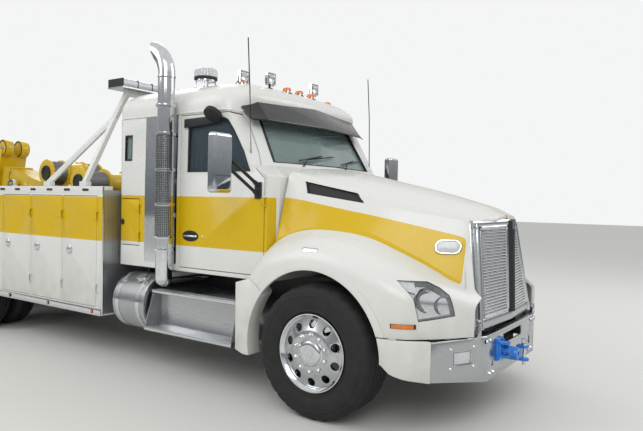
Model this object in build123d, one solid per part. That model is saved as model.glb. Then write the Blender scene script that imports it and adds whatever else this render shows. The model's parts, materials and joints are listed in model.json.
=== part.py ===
from build123d import *
import math
import os

os.makedirs("parts", exist_ok=True)

# The truck is drawn with +X forward, +Y to its left and +Z up.
# X 0 is the front axle and Z 0 the ground; save() moves all to mid length.

# Running gear
TYRE_R = 520.0
TYRE_SIDES = 36
RIM_R = 298.0
RIM_BORE_R = 270.0
FRONT_TYRE_W = 370.0
FRONT_TYRE_Y = 1055.0
KINGPIN_Y = 900.0
KINGPIN_R = 24.0
HUB_R = 105.0
REAR_AXLES_X = (-5300.0, -6620.0)
DUAL_TYRE_W = 270.0
DUAL_OUTER_Y = 1070.0
DUAL_INNER_Y = 750.0
SPINDLE_R = 55.0
SPINDLE_FIT = 0.05
AXLE_TUBE_R = 75.0

# Frame rails
RAIL_Y = 432.0
RAIL_W = 85.0
RAIL_TOP = 990.0
RAIL_H = 290.0
RAIL_WEB = 12.0
RAIL_FRONT = 900.0
RAIL_REAR = -7350.0

# Cab and sleeper
CAB_FRONT = -540.0
CAB_REAR = -2585.0
CAB_SIDE_Y = 1060.0
CAB_BOTTOM = 1000.0
COWL_Z = 1880.0
ROOF_SEAM_Z = 2470.0
CAB_WALL = 60.0
FLOOR_T = 30.0
ROOF_WALL = 40.0
DOOR_GAP = 8.0
DOOR_FRONT = -620.0
DOOR_REAR = -1663.0
DOOR_BOTTOM = 1034.0
DOOR_TOP = 2455.0
DOOR_HINGE_Z = (1110.0, 1640.0)
GLASS_T = 8.0
BAGGAGE_X = (-2530.0, -2240.0)
BAGGAGE_Z = (1200.0, 1670.0)
BAGGAGE_HINGE_Z = (1270.0, 1540.0)

# Hood
HOOD_REAR = -520.0
HOOD_FRONT = 1110.0
HOOD_WALL = 25.0
HOOD_BOTTOM = 500.0
NOSE_BOTTOM = 725.0
VENT_DEPTH = 12.0
ARCH_R = 620.0
ARCH_X = -30.0
ARCH_Z = 530.0
HOOD_PIN_X = 1112.0
HOOD_PIN_Z = 764.0
HOOD_PIN_R = 11.0
HOOD_LUG_Y = 650.0
HOOD_LUG_T = 20.0

# Front bumper
BUMPER_FRONT = 1150.0
BUMPER_FLAT_Y = 607.0
BUMPER_WING_X = 920.0
BUMPER_WING_Y = 1070.0
BUMPER_BOTTOM = 375.0
BUMPER_WING_RISE = 55.0
BUMPER_TOP = 700.0
BUMPER_T = 14.0

# Exhaust stack
STACK_X = -1752.0
STACK_Y = -1160.0
STACK_R = 78.0
STACK_WALL = 6.0
STACK_TOP = 3150.0
STACK_BEND_R = 250.0
STACK_BEND_Z = STACK_TOP - 320
GUARD_R = 86.0
GUARD_Z = (1310.0, 2280.0)
GRAB_X = -1862.0
GRAB_R = 13.0
GRAB_Z = (1390.0, 2190.0)
PANEL_X = (-2160.0, -1700.0)
PANEL_Z = (1060.0, 2465.0)
PANEL_T = 3.0
ELBOW_R = 55.0
ELBOW_Z = CAB_BOTTOM - ELBOW_R - 12

# Tanks and steps
TANK_R = 285.0
TANK_Y = 900.0
TANK_Z = 640.0
TANK_REAR = -2500.0
TANK_FRONT = -2010.0
TANK_EDGE = 20.0
STEP_REAR = -1970.0
STEP_FRONT = -850.0
STEP_TOP_Z = 800.0
STEP_LOW_Z = 455.0
STEP_LOW_Y = 1200.0
STEP_TOP_Y = 1110.0
STEP_RISER_Y = 1000.0

# Wrecker body
BODY_FRONT = -2610.0
BODY_REAR = -7350.0
BODY_SIDE_Y = 1222.0
BODY_INNER_Y = 620.0
BODY_BOTTOM = 477.0
BODY_TOP = 1712.0
BODY_WALL = 30.0
BAY_FRONT = -2700.0
BAY_PITCH = 620.0
BAY_W = 600.0
BAY_COUNT = 3
BAY_BOTTOM = 556.0
BAY_TOP = 1690.0
TOOL_DOOR_T = 36.0
WHEEL_OPENING_FRONT = -4700.0
WHEEL_OPENING_REAR = -7215.0
WHEEL_OPENING_TOP = 1120.0
DECK_Z = 1130.0
DECK_T = 40.0
TOP_RAIL_Z = 1786.0

# Boom and its lift cylinders
BOOM_PIN_X = -4500.0
BOOM_PIN_Z = 1430.0
BOOM_PIN_R = 45.0
BOOM_REST = 14.0
BOOM_H = 370.0
BOOM_W = 340.0
BOOM_LEN = 2000.0
BOOM_WALL = 20.0
PAD_FIT = 0.3
INNER_H = 310.0
INNER_W = 280.0
INNER_OUT = 260.0
INNER_IN = 1500.0
DRUM_AT = 670.0
LIFT_PIN_X = -4900.0
LIFT_PIN_Z = 1230.0
LIFT_EYE_AT = 1700.0
LIFT_Y = 255.0
LIFT_PIN_R = 32.0
LIFT_EYE_PLAY = 19.0
BARREL_R = 62.0
ROD_R = 38.0
ROD_FIT = 0.3

# Underlift
FOLD_PIN_X = -7560.0
FOLD_PIN_Z = 560.0
FOLD_PIN_R = 35.0
UNDER_ARM_TOP = 1420.0
UNDER_ARM_W = 220.0
CROSS_HALF = 900.0
CROSS_Z = 1560.0

# Furthest points, front and rear
HITCH_FRONT = 1300.0
CROSS_REAR = -7700.0
MID_X = (HITCH_FRONT + CROSS_REAR) / 2


def save(name, shape):
    """Write one sub-part, moved so that X 0 is the truck's mid length."""
    export_step(Pos(-MID_X, 0, 0) * shape, f"parts/{name}.step")


def block(x0, x1, y0, y1, z0, z1):
    """Box between two opposite corners."""
    centre = Pos((x0 + x1) / 2, (y0 + y1) / 2, (z0 + z1) / 2)
    return centre * Box(abs(x1 - x0), abs(y1 - y0), abs(z1 - z0))


def side_prism(outline, y0, y1):
    """Outline of (x, z) points, pushed from y0 to y1."""
    face = Face(Wire.make_polygon([(x, y0, z) for x, z in outline], close=True))
    return extrude(face, amount=y1 - y0, dir=(0, 1, 0))


def plan_prism(outline, z0, z1):
    """Outline of (x, y) points, pushed from z0 to z1."""
    face = Face(Wire.make_polygon([(x, y, z0) for x, y in outline], close=True))
    return extrude(face, amount=z1 - z0, dir=(0, 0, 1))


def front_prism(outline, x0, x1):
    """Outline of (y, z) points, pushed from x0 to x1."""
    face = Face(Wire.make_polygon([(x0, y, z) for y, z in outline], close=True))
    return extrude(face, amount=x1 - x0, dir=(1, 0, 0))


def rod(start, end, radius):
    """Round bar between two points."""
    line = Vector(*end) - Vector(*start)
    return Solid.make_cylinder(radius, line.length, Plane(origin=start, z_dir=line))


def beam(start, end, wide, high):
    """Rectangular bar between two points, its width level."""
    line = Vector(*end) - Vector(*start)
    level = Vector(0, 0, 1).cross(line)
    if level.length < 1e-6:
        level = Vector(0, 1, 0)
    section = Plane(origin=start, x_dir=level, z_dir=line) * Rectangle(wide, high)
    return extrude(section, amount=line.length, dir=line.normalized())


def disc_y(x, z, y0, y1, radius):
    """Round disc or shaft along Y."""
    return rod((x, y0, z), (x, y1, z), radius)


def mirrored(shape):
    """The same shape on the other side of the truck."""
    return mirror(shape, about=Plane.XZ)


def both(shape):
    """A shape and its mirror image."""
    return shape + mirrored(shape)


# Outside hinges of the baggage and tool doors, on a vertical pin
HINGE_OUT = 10.0
HINGE_R = 8.0
HINGE_PIN_R = 4.0
HINGE_H = 60.0


def hinge_leaves(x, skin_y, levels):
    """Door knuckles and body pins of a right-hand door hinged at x on the skin."""
    y = -skin_y - HINGE_OUT
    door_side = None
    body_side = None
    for z in levels:
        knuckle = rod((x, y, z), (x, y, z + HINGE_H), HINGE_R)
        knuckle = knuckle + block(x - 40, x - 4, y, -skin_y, z, z + HINGE_H)
        knuckle = knuckle + block(x - 12, x, y - HINGE_R, y + 2, z, z + HINGE_H)
        knuckle = knuckle - rod((x, y, z - 1), (x, y, z + HINGE_H + 1),
                                HINGE_PIN_R + SPINDLE_FIT)
        pin = rod((x, y, z - 12), (x, y, z + HINGE_H + 12), HINGE_PIN_R)
        for end in (z - 14, z + HINGE_H + 2):
            pin = pin + rod((x, y, end), (x, y, end + 12), HINGE_R)
            pin = pin + block(x, x + 26, y - HINGE_R, -skin_y, end, end + 12)
        door_side = knuckle if door_side is None else door_side + knuckle
        body_side = pin if body_side is None else body_side + pin
    return door_side, body_side


# Cab and sleeper

# level z, nose x, corner x, corner y, side x, side y, rear x, rear corner y
CAB_LEVELS = [
    (CAB_BOTTOM, CAB_FRONT, CAB_FRONT, 980, -590, CAB_SIDE_Y, CAB_REAR, 1020),
    (COWL_Z, CAB_FRONT, CAB_FRONT, 960, -590, CAB_SIDE_Y, CAB_REAR, 1020),
    (1985, -600, -721, 820, -790, CAB_SIDE_Y - 3, CAB_REAR, 1020),
    (ROOF_SEAM_Z, -930, -1000, 830, -1060, CAB_SIDE_Y - 8, CAB_REAR, 1025),
]
ROOF_LEVELS = [
    CAB_LEVELS[-1],
    (2600, -885, -950, 850, -1150, 1045, -2580, 1020),
    (2690, -930, -1020, 820, -1250, 965, -2555, 940),
    (2760, -1080, -1150, 720, -1380, 800, -2500, 760),
    (2825, -1350, -1430, 480, -1600, 540, -2350, 500),
]


def plan_ring(level, inset):
    """One level section of the cab, drawn in by inset."""
    z, nose_x, corner_x, corner_y, side_x, side_y, rear_x, rear_y = level
    half = [(corner_x, corner_y), (side_x, side_y), (rear_x + 60, side_y), (rear_x, rear_y)]
    outline = [(nose_x, 0)] + half + [(x, -y) for x, y in reversed(half)]
    face = Face(Wire.make_polygon([(x, y, 0) for x, y in outline], close=True))
    if inset != 0:
        face = offset(face, amount=-inset, kind=Kind.INTERSECTION).faces()[0]
    return Pos(0, 0, z) * face


def stacked(levels, inset):
    """Straight-sided body through a list of level sections."""
    return loft([plan_ring(level, inset) for level in levels], ruled=True)


def cab_space(inset, floor_z):
    """Solid inside the cab's skin, from floor_z to the roof seam."""
    rings = [(floor_z,) + CAB_LEVELS[0][1:]] + CAB_LEVELS[1:]
    return stacked(rings, inset)


def cab_walls():
    """Closed cab and sleeper walls with their floor, before doors and glass."""
    return cab_space(0, CAB_BOTTOM) - cab_space(CAB_WALL, CAB_BOTTOM + FLOOR_T)


DOOR_OUTLINE = [
    (DOOR_FRONT, DOOR_BOTTOM),
    (DOOR_FRONT, COWL_Z - 20),
    (-753, 1975),
    (-815, 2100),
    (-955, 2360),
    (-1010, 2440),
    (-1060, DOOR_TOP),
    (DOOR_REAR, DOOR_TOP),
    (DOOR_REAR, DOOR_BOTTOM),
]
WINDOW_OUTLINE = [
    (-790, 1925), (-865, 2100), (-985, 2290), (-1060, 2385), (-1120, 2405),
    (-1560, 2405), (-1560, 1925),
]
SLEEPER_WINDOW = [(-2480, 2050), (-2370, 2050), (-2370, 2300), (-2480, 2300)]
WINDSCREEN_OUTLINE = [(-815, 2015), (815, 2015), (760, 2440), (-760, 2440)]


def side_cut(outline, reach_in=700.0):
    """Prism through the right-hand cab wall."""
    return side_prism(outline, -CAB_SIDE_Y - 100, -reach_in)


def baggage_outline():
    rear, front = BAGGAGE_X
    low, high = BAGGAGE_Z
    return [(rear, low), (front, low), (front, high), (rear, high)]


def wall_panel(outline, gap):
    """The piece of the right cab wall inside an outline, less its gap."""
    face = Face(Wire.make_polygon([(x, -CAB_SIDE_Y - 100, z) for x, z in outline], close=True))
    inner = offset(face, amount=-gap, kind=Kind.INTERSECTION).faces()[0]
    tool = extrude(inner, amount=400, dir=(0, 1, 0))
    return cab_walls() & tool


def pane(tool):
    """Glass that follows the cab's skin inside a prism."""
    depth = CAB_WALL / 2
    outer = cab_space(depth - GLASS_T, CAB_BOTTOM + 10)
    inner = cab_space(depth, CAB_BOTTOM + 12)
    return (outer - inner) & tool


def build_cab():
    windscreen = front_prism(WINDSCREEN_OUTLINE, -1200, -400)
    openings = [side_cut(DOOR_OUTLINE), side_cut(SLEEPER_WINDOW), side_cut(baggage_outline())]
    shell = cab_walls() - windscreen
    for opening in openings:
        shell = shell - opening - mirrored(opening)
    door_leaves, door_pins = hinge_leaves(DOOR_FRONT - DOOR_GAP / 2, CAB_SIDE_Y, DOOR_HINGE_Z)
    leaves, pins = hinge_leaves(BAGGAGE_X[1] - DOOR_GAP / 2, CAB_SIDE_Y, BAGGAGE_HINGE_Z)
    save("cab_shell", shell + both(pins) + both(door_pins))

    roof = stacked(ROOF_LEVELS, 0)
    inner_levels = list(ROOF_LEVELS)
    top = inner_levels.pop()
    inner_levels.append((top[0] - ROOF_WALL,) + top[1:])
    save("roof", roof - stacked(inner_levels, ROOF_WALL))

    glass = pane(windscreen) + both(pane(side_cut(SLEEPER_WINDOW)))
    save("fixed_glass", glass)

    door = wall_panel(DOOR_OUTLINE, DOOR_GAP) - side_cut(WINDOW_OUTLINE) + door_leaves
    save("door_right", door)
    save("door_left", mirrored(door))
    window = pane(side_cut(WINDOW_OUTLINE))
    save("door_glass_right", window)
    save("door_glass_left", mirrored(window))

    baggage = wall_panel(baggage_outline(), DOOR_GAP) + leaves
    save("baggage_door_right", baggage)
    save("baggage_door_left", mirrored(baggage))


# inner edge x, z and outer edge x, z of the sun visor at each y
VISOR_RIBS = [
    (0, -900, 2620, -745, 2405),
    (790, -985, 2605, -825, 2400),
    (930, -1080, 2560, -880, 2395),
]
VISOR_T = 14.0


def visor_rib(y, inner_x, inner_z, outer_x, outer_z):
    outline = [
        (inner_x, y, inner_z),
        (outer_x, y, outer_z),
        (outer_x, y, outer_z - VISOR_T),
        (inner_x, y, inner_z - VISOR_T),
    ]
    return Face(Wire.make_polygon(outline, close=True))


def build_visor():
    left = loft([visor_rib(*row) for row in VISOR_RIBS], ruled=True)
    visor = both(left) - stacked([(2300,) + ROOF_LEVELS[0][1:]] + ROOF_LEVELS, 0)
    save("visor", visor)


SEAT_X = -1640.0
SEAT_Y = 500.0
FLOOR_Z = CAB_BOTTOM + FLOOR_T
SEAT_TOP_Z = 1520.0
HEADREST_Z = 2290.0
WHEEL_C = (-1120.0, 500.0, 1800.0)
WHEEL_TILT = 35.0
STEERING_WHEEL_R = 225.0
STEERING_HUB = 40.0


def build_interior():
    seat = block(SEAT_X, SEAT_X + 500, SEAT_Y - 250, SEAT_Y + 250, FLOOR_Z, SEAT_TOP_Z)
    back = side_prism(
        [(SEAT_X, SEAT_TOP_Z - 20), (SEAT_X + 120, SEAT_TOP_Z - 20),
         (SEAT_X + 20, 2120), (SEAT_X - 90, 2120)],
        SEAT_Y - 240, SEAT_Y + 240)
    rest = block(SEAT_X - 90, SEAT_X + 10, SEAT_Y - 130, SEAT_Y + 130, 2100, HEADREST_Z)
    bunk = block(CAB_REAR + 80, CAB_REAR + 620, -930, 930, FLOOR_Z, 1560)
    dash_outline = [(-740, FLOOR_Z), (-860, FLOOR_Z), (-900, 1500), (-980, 1780),
                    (-900, 1890), (-740, 1890)]
    dash = side_prism(dash_outline, -890, 890)
    column = rod(wheel_point(-290), wheel_point(-STEERING_HUB / 2 - PAD_FIT), 32)
    save("cab_interior", both(seat + back + rest) + bunk + dash + column)

    hub_plane = Plane(origin=WHEEL_C, z_dir=wheel_axis())
    rim = hub_plane * Torus(STEERING_WHEEL_R, 15)
    hub = hub_plane * Cylinder(55, STEERING_HUB)
    spokes = hub_plane * Box(2 * STEERING_WHEEL_R, 40, 14)
    save("steering_wheel", rim + hub + spokes)


def wheel_axis():
    tilt = math.radians(WHEEL_TILT)
    return Vector(-math.cos(tilt), 0, math.sin(tilt))


def wheel_point(along):
    """Point on the steering column's axis, measured from the wheel's centre."""
    axis = wheel_axis()
    return (WHEEL_C[0] + axis.X * along, WHEEL_C[1], WHEEL_C[2] + axis.Z * along)


# Hood with front wings

# x, crown z, crease y, crease z, waist y, waist z, shoulder y, shoulder z, side y, side z
HOOD_STATIONS = [
    (-660, 2020, 875, 1955, 1035, 1214, 1150, 1130, 1212, 1010),
    (-490, 1985, 850, 1920, 1020, 1352, 1140, 1270, 1216, 1160),
    (-200, 1930, 810, 1845, 985, 1444, 1135, 1365, 1218, 1240),
    (50, 1880, 775, 1775, 930, 1447, 1125, 1372, 1220, 1250),
    (300, 1830, 730, 1712, 868, 1405, 1110, 1325, 1220, 1205),
    (550, 1772, 675, 1650, 797, 1300, 1080, 1235, 1212, 1115),
    (750, 1718, 600, 1612, 722, 1192, 1010, 1150, 1160, 1040),
    (900, 1675, 548, 1585, 672, 1105, 870, 1090, 1030, 1010),
    (1010, 1622, 492, 1555, 630, 1045, 740, 1030, 880, 985),
    (HOOD_FRONT, 1586, 455, 1515, 590, 1000, 650, 980, 760, 940),
]
HOOD_HIDDEN_Z = 380.0


def hood_ring(station, inset):
    """Cross-section of the hood's skin, drawn in by inset."""
    at, crown, crease_y, crease_z, waist_y, waist_z, top_y, top_z, side_y, side_z = station
    half = [
        (crease_y * 0.6, crown - (crown - crease_z) * 0.28),
        (crease_y, crease_z),
        (waist_y, waist_z),
        (top_y, top_z),
        (side_y, side_z),
        (side_y, HOOD_HIDDEN_Z),
    ]
    outline = [(0, crown)] + half + [(-y, z) for y, z in reversed(half)]
    face = Face(Wire.make_polygon([(0, y, z) for y, z in outline], close=True))
    if inset > 0:
        face = offset(face, amount=-inset, kind=Kind.INTERSECTION).faces()[0]
    return Pos(at, 0, 0) * face


def hood_space(inset):
    """Solid inside the hood's skin, cut off behind the grille."""
    body = loft([hood_ring(station, inset) for station in HOOD_STATIONS], ruled=True)
    return body - ahead_of_grille(GRILLE_DEPTH / 2 + GRILLE_SEAT + inset)


HOOD_REAR_CUT = [
    (HOOD_REAR, 2200), (HOOD_REAR, 1320), (-655, 1044), (-515, 952),
    (-515, 300), (-900, 300), (-900, 2200),
]
VENT_OUTLINE = [(-356, 1844), (106, 1750), (183, 1671), (-316, 1744)]
GRILLE_OPENING = [(-590, 770), (590, 770), (460, 1530), (-460, 1530)]
LAMP_OUTLINE = [
    (-110, 130), (124, 119), (210, 78), (272, 27), (302, -100), (306, -119), (21, -151), (-17, 11),
]


def lamp_tool():
    """Prism that cuts the right headlamp out of the hood's front corner."""
    wing = Plane(origin=(700, -1000, 1000), x_dir=(1, 1, 0), z_dir=(1, -1, 0))
    corners = [wing.from_local_coords((u, v, -120)) for u, v in LAMP_OUTLINE]
    return extrude(Face(Wire.make_polygon(corners, close=True)), amount=700, dir=(1, -1, 0))


GRILLE_LOW = ((1130, 0, 752), (1095, 606, 748))
GRILLE_HIGH = ((1104, 0, 1566), (985, 480, 1553))
GRILLE_DEPTH = 50.0
GRILLE_SEAT = 4.3
LOUVRES = 28
LOUVRE_H = 14.0
GRILLE_FRAME = 42.0
GRILLE_SILL = 75.0
GRILLE_CENTRE = 90.0


def grille_point(across, up):
    """Point on the left half of the grille's face, from (0, 0) low centre to (1, 1)."""
    low = [a + (b - a) * across for a, b in zip(*GRILLE_LOW)]
    high = [a + (b - a) * across for a, b in zip(*GRILLE_HIGH)]
    return tuple(a + (b - a) * up for a, b in zip(low, high))


def ahead_of_grille(depth):
    """Space in front of the grille's face, moved back by depth."""
    rings = []
    for up in (-0.6, 1.3):
        mid_x, _, z = grille_point(0, up)
        edge_x, edge_y, _ = grille_point(1, up)
        far_x = mid_x + (edge_x - mid_x) * 1300 / edge_y
        outline = [(mid_x - depth, 0), (far_x - depth, 1300), (1600, 1300), (1600, -1300),
                   (far_x - depth, -1300)]
        rings.append(Face(Wire.make_polygon([(x, y, z) for x, y in outline], close=True)))
    return loft(rings, ruled=True)


def build_hood():
    shell = hood_space(0) - hood_space(HOOD_WALL)
    shell = shell - side_prism(HOOD_REAR_CUT, -1300, 1300)
    shell = shell - block(-1000, 1200, -1300, 1300, 200, HOOD_BOTTOM)
    shell = shell - disc_y(ARCH_X, ARCH_Z, -1300, 1300, ARCH_R)
    shell = shell - block(450, 1200, -1300, 1300, 200, NOSE_BOTTOM)
    shell = shell - front_prism(GRILLE_OPENING, 900, HOOD_FRONT + 20)
    vent = side_prism(VENT_OUTLINE, -1300, -500) - hood_space(VENT_DEPTH)
    arm = block(1020, HOOD_PIN_X + 22, HOOD_LUG_Y, HOOD_LUG_Y + HOOD_LUG_T,
                HOOD_PIN_Z - 20, HOOD_PIN_Z + 26)
    arm = arm - disc_y(HOOD_PIN_X, HOOD_PIN_Z, 600, 700, HOOD_PIN_R + SPINDLE_FIT)
    tool = lamp_tool()
    save("hood", shell + both(arm) - both(vent) - tool - mirrored(tool))
    lamp = (hood_space(4) - hood_space(HOOD_WALL + 30)) & tool
    save("headlamps", both(lamp))


def build_grille():
    bars = beam(grille_point(0, 0.045), grille_point(1, 0.045), 50, GRILLE_SILL)
    bars = bars + beam(grille_point(0, 0.97), grille_point(1, 0.97), 50, GRILLE_FRAME)
    bars = bars + beam(grille_point(1, 0), grille_point(1, 1), GRILLE_FRAME, 60)
    bars = bars + beam(grille_point(0, 0), grille_point(0, 1), GRILLE_CENTRE / 2, 50)
    for number in range(LOUVRES):
        up = 0.11 + 0.83 * number / (LOUVRES - 1)
        bars = bars + beam(grille_point(0, up), grille_point(0.99, up), 40, LOUVRE_H)
    save("grille", both(bars))


# Bumper, tow hitch and trim at the front

BUMPER_FACE = [
    (BUMPER_WING_X, -BUMPER_WING_Y), (BUMPER_FRONT, -BUMPER_FLAT_Y),
    (BUMPER_FRONT, BUMPER_FLAT_Y), (BUMPER_WING_X, BUMPER_WING_Y),
]


def bumper_band(depth, thick, z0, z1):
    """Band along the bumper's face, depth behind it and thick deep."""
    front = [(x - depth, y) for x, y in BUMPER_FACE]
    back = [(x - depth - thick, y) for x, y in reversed(BUMPER_FACE)]
    return plan_prism(front + back, z0, z1)


FOG_Y = (735.0, 890.0)
FOG_Z = (522.0, 632.0)
FOG_DEPTH = 60.0
WINDOW_HALF = 235.0
WINDOW_Z = (590.0, 668.0)
SLOT_Y = (450.0, 498.0)
SLOT_Z = (468.0, 535.0)


def build_bumper():
    plate = bumper_band(0, BUMPER_T, BUMPER_BOTTOM, BUMPER_TOP)
    rise = front_prism([(BUMPER_FLAT_Y, BUMPER_BOTTOM - 5), (BUMPER_WING_Y + 5, BUMPER_BOTTOM - 5),
                        (BUMPER_WING_Y + 5, BUMPER_BOTTOM + BUMPER_WING_RISE),
                        (BUMPER_FLAT_Y, BUMPER_BOTTOM)], 850, 1200)
    flange = bumper_band(0, 45, BUMPER_TOP, BUMPER_TOP + 10)
    brackets = both(block(RAIL_FRONT, BUMPER_FRONT - BUMPER_T, RAIL_Y - RAIL_W, RAIL_Y, 560, 690))
    frame_joint = both(block(RAIL_FRONT - 300, RAIL_FRONT + 20, RAIL_Y, RAIL_Y + 12, 600, 760))
    lug_y = HOOD_LUG_Y + HOOD_LUG_T + 4
    lug = block(HOOD_PIN_X - 20, HOOD_PIN_X + 20, lug_y, lug_y + 16,
                BUMPER_TOP + 5, HOOD_PIN_Z + 22)
    pin = disc_y(HOOD_PIN_X, HOOD_PIN_Z, HOOD_LUG_Y - 4, lug_y + 4, HOOD_PIN_R)
    window = block(BUMPER_FRONT - 40, BUMPER_FRONT + 20, -WINDOW_HALF, WINDOW_HALF, *WINDOW_Z)
    slot = block(BUMPER_FRONT - BUMPER_T - 5, BUMPER_FRONT + 20, *SLOT_Y, *SLOT_Z)
    fog = block(850, 1200, *FOG_Y, *FOG_Z)
    lamp = bumper_band(BUMPER_T, FOG_DEPTH, FOG_Z[0] - 15, FOG_Z[1] + 15)
    lamp = lamp & block(800, 1200, FOG_Y[0] - 15, FOG_Y[1] + 15, *FOG_Z)
    lamp = lamp + bumper_band(BUMPER_T, 20, FOG_Z[0] - 15, FOG_Z[1] + 15) \
        & block(800, 1200, FOG_Y[0] - 15, FOG_Y[1] + 15, 0, 2000)
    save("bumper", plate + flange + brackets + frame_joint + both(lug + pin)
         - window - both(slot) - both(rise) - both(fog) + both(lamp))


BUMPER_END_T = 30.0
BUMPER_END_TOP = NOSE_BOTTOM - DOOR_GAP


def build_fender_trim():
    outer = [(BUMPER_WING_X - 2, -BUMPER_WING_Y), (800, -1165), (700, -1210), (500, -1222)]
    inner = [(500, -1222 + BUMPER_END_T), (690, -1178), (785, -1137), (885, -BUMPER_WING_Y)]
    end = plan_prism(outer + inner, BUMPER_BOTTOM, BUMPER_END_TOP)
    below = [(480, 300), (480, 530), (600, 530), (660, 480), (750, 450), (940, 418), (940, 300)]
    end = end - side_prism(below, -1300, -1000)
    skirt_outline = [(-646, 1032), (-515, 942), (-530, 400), (-700, 400), (-785, 430), (-790, 990)]
    skirt = side_prism(skirt_outline, -1218, -1070)
    arch = disc_y(ARCH_X, ARCH_Z, -1300, -900, ARCH_R)
    save("fender_trim", both(end + skirt - arch))


# x, y, z of the two jaws' pins and of the round boss on the link between them
HITCH_JAWS = [(1206, -350, 575), (1262, -50, 500)]
HITCH_BOSS = (1222, -200, 520)
JAW_R = 38.0
JAW_GAP = 84.0
JAW_EAR_T = 18.0
JAW_BORE_R = 14.0


def hitch_jaw(x, y, z):
    """Two round ears over each other with a block behind them."""
    jaw = block(x - 56, x - 26, y - 32, y + 32, z - JAW_GAP / 2 - JAW_EAR_T,
                z + JAW_GAP / 2 + JAW_EAR_T)
    for low in (z - JAW_GAP / 2 - JAW_EAR_T, z + JAW_GAP / 2):
        jaw = jaw + rod((x, y, low), (x, y, low + JAW_EAR_T), JAW_R)
        jaw = jaw + block(x - 40, x, y - JAW_R, y + JAW_R, low, low + JAW_EAR_T)
    return jaw


def build_tow_hitch():
    first, second = HITCH_JAWS
    mid_x, mid_y, mid_z = HITCH_BOSS
    base = block(BUMPER_FRONT, BUMPER_FRONT + 16, first[1] - 60, first[1] + 60,
                 first[2] - 85, first[2] + 85)
    link = beam((first[0] - 5, first[1] + 25, first[2]), HITCH_BOSS, 46, 60)
    link = link + beam(HITCH_BOSS, (second[0] - 40, second[1] - 25, second[2]), 46, 60)
    boss = rod((mid_x - 50, mid_y, mid_z), (mid_x + 40, mid_y, mid_z), 52)
    hitch = base + hitch_jaw(*first) + hitch_jaw(*second) + link + boss
    hitch = hitch - rod((mid_x - 60, mid_y, mid_z), (mid_x + 60, mid_y, mid_z), 22)
    x, y, z = second
    hitch = hitch - rod((x, y, z - 200), (x, y, z + 200), JAW_BORE_R)
    save("tow_hitch", hitch)


# Frame, axles and engine

def build_frame():
    rail = block(RAIL_REAR, RAIL_FRONT, RAIL_Y - RAIL_W, RAIL_Y, RAIL_TOP - RAIL_H, RAIL_TOP)
    channel = block(RAIL_REAR - 1, RAIL_FRONT + 1, RAIL_Y - RAIL_W - 1, RAIL_Y - RAIL_WEB,
                    RAIL_TOP - RAIL_H + RAIL_WEB, RAIL_TOP - RAIL_WEB)
    frame = both(rail - channel)
    for x in (RAIL_FRONT - 200, -1500, -3000, -4500, -5960, RAIL_REAR + 60):
        half = RAIL_Y - RAIL_WEB
        frame = frame + block(x - 40, x + 40, -half, half, RAIL_TOP - 220, RAIL_TOP - 60)
    save("frame_rails", frame)

    engine = block(-420, 640, -300, 300, 840, 1560)
    half = RAIL_Y - RAIL_W
    radiator = block(800, 880, -half, half, 780, 1480)
    save("engine", engine + block(640, 800, -60, 60, 1000, 1200) + radiator)


SPRING_Z = RAIL_TOP - RAIL_H - 60
KNUCKLE_HALF = 105.0


def build_front_axle():
    boss = rod((0, -KINGPIN_Y, TYRE_R - 50), (0, -KINGPIN_Y, TYRE_R + 50), 55)
    axle = block(-45, 45, -KINGPIN_Y, KINGPIN_Y, TYRE_R - 40, TYRE_R + 40) + both(boss)
    pin = rod((0, -KINGPIN_Y, TYRE_R - KNUCKLE_HALF), (0, -KINGPIN_Y, TYRE_R + KNUCKLE_HALF),
              KINGPIN_R)
    axle = axle + both(pin)
    leaf_outline = [(-720, SPRING_Z + 45), (-720, SPRING_Z + 5), (-80, TYRE_R + 40),
                    (80, TYRE_R + 40), (720, SPRING_Z + 5), (720, SPRING_Z + 45),
                    (80, TYRE_R + 95), (-80, TYRE_R + 95)]
    leaf = side_prism(leaf_outline, -RAIL_Y + 5, -RAIL_Y + 80)
    shackle = block(-735, -705, -RAIL_Y + 5, -RAIL_Y + 80, SPRING_Z, RAIL_TOP - RAIL_H)
    hanger = block(705, 735, -RAIL_Y + 5, -RAIL_Y + 80, SPRING_Z, RAIL_TOP - RAIL_H)
    save("front_axle", axle + both(leaf + shackle + hanger))

    arms = block(-50, 50, -KINGPIN_Y - 95, -KINGPIN_Y + 50, TYRE_R - KNUCKLE_HALF,
                 TYRE_R + KNUCKLE_HALF)
    arms = arms - block(-70, 70, -KINGPIN_Y - 60, -KINGPIN_Y + 60, TYRE_R - 52, TYRE_R + 52)
    arms = arms - rod((0, -KINGPIN_Y, 300), (0, -KINGPIN_Y, 700), KINGPIN_R + SPINDLE_FIT)
    spindle = disc_y(0, TYRE_R, -KINGPIN_Y - 90, -1180, SPINDLE_R)
    knuckle = arms + spindle
    save("knuckle_right", knuckle)
    save("knuckle_left", mirrored(knuckle))


def build_rear_axles():
    shape = None
    for x in REAR_AXLES_X:
        tube = disc_y(x, TYRE_R, -DUAL_INNER_Y, DUAL_INNER_Y, AXLE_TUBE_R)
        stubs = disc_y(x, TYRE_R, -1160, 1160, SPINDLE_R)
        bowl = disc_y(x, TYRE_R, -150, 150, 215)
        hanger = both(block(x - 60, x + 60, RAIL_Y - RAIL_W, RAIL_Y, TYRE_R + 20,
                            RAIL_TOP - RAIL_H))
        axle = tube + stubs + bowl + hanger
        shape = axle if shape is None else shape + axle
    save("rear_axles", shape)


# Wheels

def ring_of(profile, x, y, z):
    """Revolve a (radius, across) outline about the wheel's axis at (x, y, z)."""
    points = [(radius, across, 0) for radius, across in profile]
    face = Face(Wire.make_polygon(points, close=True))
    turned = revolve(face, axis=Axis.Y)
    return Pos(x, y, z) * turned


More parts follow.
